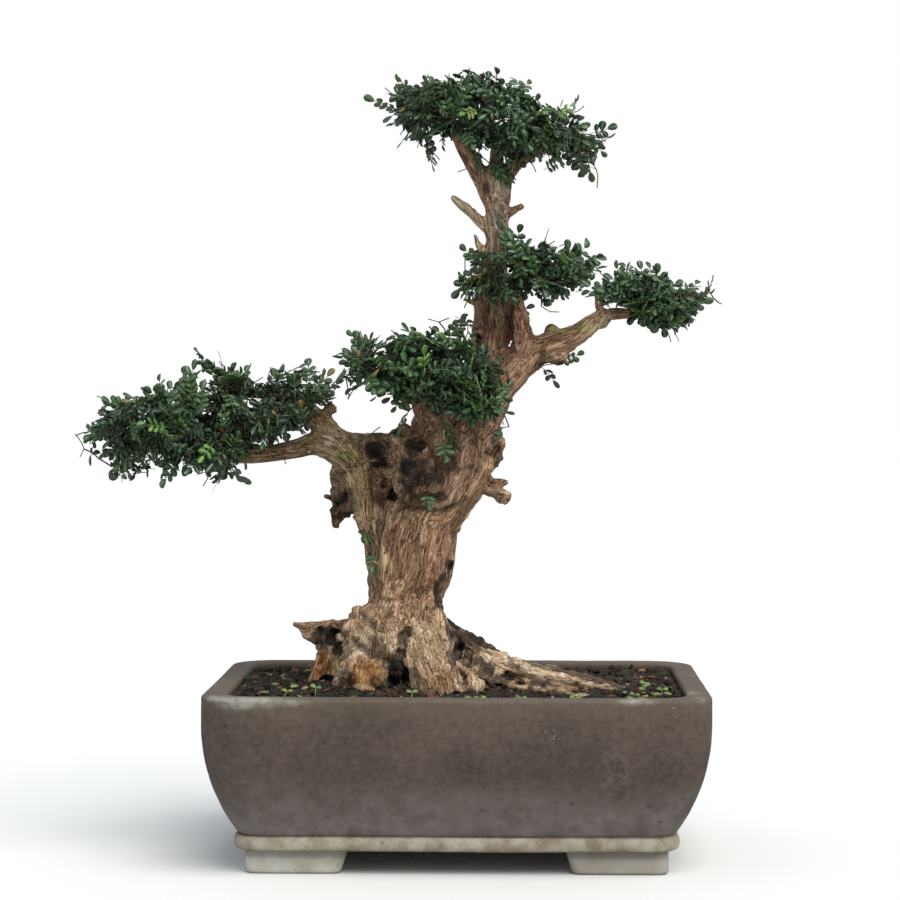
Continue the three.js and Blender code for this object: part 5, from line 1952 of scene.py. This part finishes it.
def growTwigs(pad, random):
    # every tip is joined to the nearest wood already there, nearest tips first
    nodes = []
    for name in pad["limbs"]:
        path = limbPaths[name]
        nodes += list(path[len(path) // 3:, :3])
    parents = [-1] * len(nodes)
    tips = []
    leaves = []
    waiting = tipPlaces(pad, random)
    while waiting:
        table = np.array(nodes)
        gaps = [np.linalg.norm(table - place, axis=1).min() for place, _, _ in waiting]
        place, tone, count = waiting.pop(int(np.argmin(gaps)))
        leaves.append((tone, count))
        place = np.clip(place, boxLow + twig["boxGap"], boxHigh - twig["boxGap"])
        start = int(np.argmin(np.linalg.norm(table - place, axis=1)))
        span = place - table[start]
        steps = max(1, round(np.linalg.norm(span) / twig["step"]))
        bend = random.normal(0, twig["bend"], 3) * np.linalg.norm(span)
        last = start
        for step in range(1, steps + 1):
            share = step / steps
            nodes.append(table[start] + span * share + bend * math.sin(math.pi * share))
            parents.append(last)
            last = len(nodes) - 1
        tips.append(last)
    return np.array(nodes), parents, tips, leaves


def twigTubes(nodes, parents, tips):
    # tubes from each tip back to wood that is already drawn, thicker where more tips hang on
    load = np.zeros(len(nodes))
    for tip in tips:
        node = tip
        while node >= 0:
            load[node] += 1
            node = parents[node]
    radius = twig["tipRadius"] + twig["growth"] * (np.sqrt(load) - 1)
    drawn = np.array([parent < 0 for parent in parents])
    shapes = []
    for tip in sorted(tips, key=lambda tip: -load[parents[tip]]):
        chain = [tip]
        while not drawn[chain[-1]]:
            drawn[chain[-1]] = True
            chain.append(parents[chain[-1]])
        if len(chain) < 2:
            continue
        chain = chain[::-1]
        radii = radius[chain]
        radii[0] = radii[1]
        line = smoothPath(np.column_stack([nodes[chain], radii]), 7)
        shapes.append(tube(line[:, :3], line[:, 3], twig["sides"]))
    return gathered(shapes)


def leafFrames(nodes, parents, tips, leaves, random):
    # foot, direction, upper side and tone of every compound leaf
    middle = nodes[tips].mean(axis=0)
    frames = []
    for tip, (tone, count) in zip(tips, leaves):
        back = nodes[tip] - nodes[parents[tip]]
        along = unit(back)
        outward = unit((nodes[tip] - middle) * np.array([1, 1, 1.5]))
        turn = random.uniform(0, 2 * np.pi)
        side = unit(np.cross(along, up + 0.01))
        other = np.cross(along, side)
        for index in range(count):
            turn += twig["turn"]
            share = index / (count - 1) if count > 1 else 1
            foot = nodes[tip] - along * twig["leafSpan"] * (1 - share) * random.uniform(0.7, 1)
            lean = twig["lastLean"] if index == count - 1 else twig["lean"]
            aside = np.cos(turn) * side + np.sin(turn) * other
            heading = unit(along + lean * aside + 0.35 * outward + 0.12 * up + random.normal(0, 0.15, 3))
            facing = unit(0.6 * up + 0.7 * outward + random.normal(0, 0.5, 3))
            frames.append((foot, heading, facing, tone + random.normal(0, 0.08)))
    return frames


def leafFits(pad, leaflets, overshoot):
    # whether a leaf stays near the pad's outline or a spray, clear of the gaps and inside the model's box
    ends = np.array([foot + way * length * 1.05 for foot, way, _, length in leaflets])
    middles = np.array([foot + way * length / 2 for foot, way, _, length in leaflets])
    endPixels, middlePixels = pixelsOf(ends), pixelsOf(middles)
    fits = edgeDistance(endPixels, pad["outline"]) > -overshoot
    sprayReach = pad.get("sprayReach", twig["sprayReach"])
    for u, v, _ in pad["sprays"]:
        fits |= np.hypot(*(middlePixels - (u, v)).T) < sprayReach
    for u, v, reach in pad["gaps"]:
        for pixels in (endPixels, middlePixels):
            fits &= np.hypot(*(pixels - (u, v)).T) > reach + 1.2
    low, high = boxLow + leaf["boxGap"], boxHigh - leaf["boxGap"]
    return fits.mean() > leaf["fits"] and ((ends > low) & (ends < high)).all()


def leafletsOn(foot, heading, facing, random):
    # the line of one compound leaf's rib, and its leaflets as foot, direction, upper side and length
    facing = squared(facing, heading)
    pairs = random.integers(*leaf["pairs"], endpoint=True)
    stalk = random.uniform(*leaf["stalk"])
    size = random.uniform(*leaf["length"])
    pitch = leaf["pitch"] * size
    total = stalk + pairs * pitch
    droop = leaf["droop"] * random.uniform(-0.3, 1)
    stops = np.array([0, stalk * 0.5, *(stalk + pitch * np.arange(pairs + 1))])
    share = stops / total
    line = foot + heading * stops[:, None] - facing * (droop * share**2 * total * 0.4)[:, None]
    leaflets = []
    for index, tangent in list(enumerate(unit(np.gradient(line, axis=0))))[2:]:
        upper = squared(facing, tangent)
        across = np.cross(upper, tangent)
        terminal = index == len(stops) - 1
        for sign in (0,) if terminal else (1, -1):
            spread = random.uniform(0.85, 1.15)
            way = tangent if terminal else unit(tangent * leaf["pairTilt"] * spread + across * sign)
            tilt = upper + random.normal(0, 0.26, 3)
            scale = leaf["lastScale"] if terminal else 0.78 + 0.2 * share[index]
            leaflets.append((line[index], way, tilt, size * scale * random.uniform(0.88, 1.1)))
    return line, leaflets


def makeLeaves(pad, frames, random):
    # the leaflets and the ribs of all leaves that fit, as two parts of a piece
    leaflets, tones, ribs, ribTones = [], [], [], []
    low, high = twig["overshoot"]
    for *frame, tone in frames:
        line, made = leafletsOn(*frame, random)
        if not leafFits(pad, made, low + (high - low) * random.random() ** 1.5):
            continue
        leaflets += made
        tones += [tone] * len(made)
        ribs.append(tube(line, np.full(len(line), leaf["ribWidth"] / 2), 4, 0.6))
        ribTones.append(np.full(len(ribs[-1][0]), tone))
    feet, alongs, facings, lengths = (np.array(column) for column in zip(*leaflets))
    facings = unit(facings - alongs * (alongs * facings).sum(axis=1, keepdims=True))
    across = np.cross(facings, alongs)
    count, corners = len(feet), len(leafletPoints)
    along, aside, rise = leafletPoints.T
    halfWidth = lengths * leaf["widthShare"] / 2 * random.uniform(0.85, 1.12, count)
    fold = leaf["fold"] * random.uniform(0.0, 1.6, count)
    arch = leaf["arch"] * random.uniform(-0.6, 1.7, count)
    x = lengths[:, None] * along
    y = halfWidth[:, None] * aside
    z = fold[:, None] * np.abs(y) - arch[:, None] * lengths[:, None] * along**2
    z = z + leaf["thickness"] / 2 * rise
    points = feet[:, None] + x[..., None] * alongs[:, None] + y[..., None] * across[:, None]
    points = (points + z[..., None] * facings[:, None]).reshape(-1, 3)
    firsts = (np.arange(count) * corners)[:, None, None]
    middle, half = pad["depth"]
    # painted shade: leaflets further inside the outline and nearer the pad's middle depth get a larger
    # inner value, which darkens them
    inner = np.clip(edgeDistance(pixelsOf(feet), pad["outline"]) / 24, 0, 1)
    inner = inner * np.clip(1.1 - ((feet[:, 1] - middle) / half) ** 2, 0, 1)
    values = {
        "tone": np.repeat(tones + random.normal(0, 0.05, count), corners),
        "blade": np.tile(leafletPoints, (count, 1)),
        "chance": np.repeat(random.random(count), corners),
        "inner": np.repeat(inner, corners),
    }
    faces = [(faces[None] + firsts).reshape(-1, faces.shape[1]) for faces in leafletFaces]
    ribPoints, ribFaces = gathered(ribs)
    ribValues = {"tone": np.concatenate(ribTones)}
    return [
        {"points": points, "faces": faces, "material": leafMaterial, "values": values},
        {"points": ribPoints, "faces": [ribFaces], "material": ribMaterial, "values": ribValues},
    ]


def makeLeafMaterial():
    material, board = newMaterial("leaf", (38, 66, 44), 0.4)
    board.feed(board.nodes["Principled BSDF"].inputs["Specular IOR Level"], 0.8)
    tone = board.attribute("tone")
    chance = board.attribute("chance")
    blade = board.add("ShaderNodeSeparateXYZ", {"Vector": board.attribute("blade", "Vector")}).outputs
    aside = board.math("ABSOLUTE", blade["Y"])
    speckle = board.group(mottling, Size=9.0, Contrast=0.3)["Mask"]
    young = board.spread(tone, 0.95, 1.15)
    # painted shade: inner leaflets are darkened, young ones less
    darkAndPaintedShade = board.times(board.attribute("inner"), board.minus(0.6, board.times(young, 0.6)))
    middle = board.spread(aside, 0.14, 0.03)
    under = board.spread(blade["Z"], 0.0, -0.6)
    colour = board.layers(
        board.mix(board.spread(tone, 0.0, 0.9), (40, 66, 46), (86, 124, 72)),
        (board.times(speckle, 0.35), (66, 96, 74)),
        (young, board.mix(chance, (82, 136, 58), (140, 176, 88))),
        (darkAndPaintedShade, (24, 34, 28)),
        (board.times(board.spread(chance, 0.993, 0.996), 0.8), (156, 124, 62)),
        (board.times(middle, 0.5), (112, 140, 92)),
        (board.times(under, 0.45), (84, 108, 76)),
    )
    roughness = board.plus(board.spread(chance, 0, 1, 0.2, 0.42), board.times(under, 0.2))
    veins = board.math("PINGPONG", board.minus(blade["X"], board.times(aside, 0.25)), 0.07)
    relief = board.plus(board.times(veins, 2.0), board.times(middle, -0.5))
    board.finish(colour, roughness, relief, 0.0003, 0.6)
    return material


def makeTwigMaterial():
    material, board = newMaterial("twig", (84, 66, 50), 0.8)
    grain = board.noise(board.place(), 500.0, 3.0, 0.65)
    tones = {"Furrow": (34, 25, 20), "Flank": (72, 54, 42), "Ridge": (136, 112, 86)}
    tone = board.group(grainTones, Grain=board.spread(grain, 0.3, 0.7), **tones)
    board.finish(tone["Colour"], height=grain, distance=0.0006)
    return material


def makeRibMaterial():
    material, board = newMaterial("leafRib", (84, 110, 58), 0.5)
    tone = board.mottled((58, 78, 42), (118, 136, 74), 12.0, 0.3)
    board.finish(board.mix(board.spread(board.attribute("tone"), 0.7, 1.1), tone, (158, 172, 88)))
    return material


leafMaterial = makeLeafMaterial()
twigMaterial = makeTwigMaterial()
ribMaterial = makeRibMaterial()


def makeFoliage(name, pad):
    random = np.random.default_rng(pad["seed"])
    nodes, parents, tips, leaves = growTwigs(pad, random)
    twigPoints, twigFaces = twigTubes(nodes, parents, tips)
    frames = leafFrames(nodes, parents, tips, leaves, random)
    parts = makeLeaves(pad, frames, random)
    print(name, len(frames), "leaves", len(parts[0]["points"]) // len(leafletPoints), "leaflets")
    parts.append({"points": twigPoints, "faces": [twigFaces], "material": twigMaterial})
    makePiece(name, parts, pad["replaces"])


for name, pad in pads.items():
    makeFoliage(name, pad)


# Mesh squares over the drain holes
def makeMeshMaterial():
    material, board = newMaterial("drainMesh", (36, 39, 42), 0.6)
    tone = board.mottled((28, 31, 34), (46, 49, 52), 5.0, 0.3)
    board.finish(tone, height=board.noise(board.place(), 800.0), distance=0.0002)
    return material


meshMaterial = makeMeshMaterial()
for name in ("drain_mesh_left", "drain_mesh_right"):
    square = frame["nodes"][name]
    square.data.materials.clear()
    square.data.materials.append(meshMaterial)
print("drain mesh finished")


# Floor and light
studio = {
    "floorSize": 40,
    "floorBelow": 0.0002,  # how far the floor lies under the feet
    "seenFloor": (0.97, 0.97, 0.97, 1),
    "floorBounce": (0.5, 0.5, 0.5, 1),  # the light the floor throws back on to the tree
    "skyColour": (0.86, 0.94, 1.0, 1),
    "skyStrength": 0.55,
    "sunStrength": 2.4,
    "sunColour": (1.0, 0.96, 0.9),
    "sunWidth": 50,  # degrees
    "sunFrom": (0.4, -0.6, 1.0),
}


def makeFloor():
    half = studio["floorSize"] / 2
    mesh = bpy.data.meshes.new("floor")
    corners = [(-half, -half, 0), (half, -half, 0), (half, half, 0), (-half, half, 0)]
    mesh.from_pydata(corners, [], [(0, 1, 2, 3)])
    material, board = newMaterial("floor", (252, 252, 252), 0.9)
    seen = board.add("ShaderNodeLightPath").outputs["Is Camera Ray"]
    board.finish(board.mix(seen, studio["floorBounce"], studio["seenFloor"]))
    mesh.materials.append(material)
    floor = bpy.data.objects.new("floor", mesh)
    floor.location = (0, 0, potMiddle[2] - studio["floorBelow"])
    bpy.context.scene.collection.objects.link(floor)
    floor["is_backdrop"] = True


def makeSun():
    data = bpy.data.lights.new("softSun", "SUN")
    data.energy = studio["sunStrength"]
    data.color = studio["sunColour"]
    data.angle = math.radians(studio["sunWidth"])
    holder = bpy.data.objects.new("softSun", data)
    holder.rotation_euler = Vector(studio["sunFrom"]).to_track_quat("Z", "Y").to_euler()
    bpy.context.scene.collection.objects.link(holder)


def makeSky():
    # white behind the tree, softer where it lights it
    world = bpy.data.worlds.new("studio")
    world.use_nodes = True
    board = Board(world.node_tree)
    lit = board.nodes["Background"]
    board.feed(lit.inputs["Color"], studio["skyColour"])
    board.feed(lit.inputs["Strength"], studio["skyStrength"])
    shown = board.add("ShaderNodeBackground", {"Color": white, "Strength": 1.0})
    seen = board.add("ShaderNodeLightPath").outputs["Is Camera Ray"]
    either = board.add("ShaderNodeMixShader", {0: seen, 1: lit.outputs[0], 2: shown.outputs[0]})
    board.feed(board.nodes["World Output"].inputs["Surface"], either.outputs[0])
    bpy.context.scene.world = world


makeFloor()
makeSky()
makeSun()
bpy.context.scene.view_settings.view_transform = "Standard"
print("studio lit")


def corners(bounds):
    return [list(corner) for corner in bounds]


{"cad": corners(cadBounds), "visual": corners(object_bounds())}
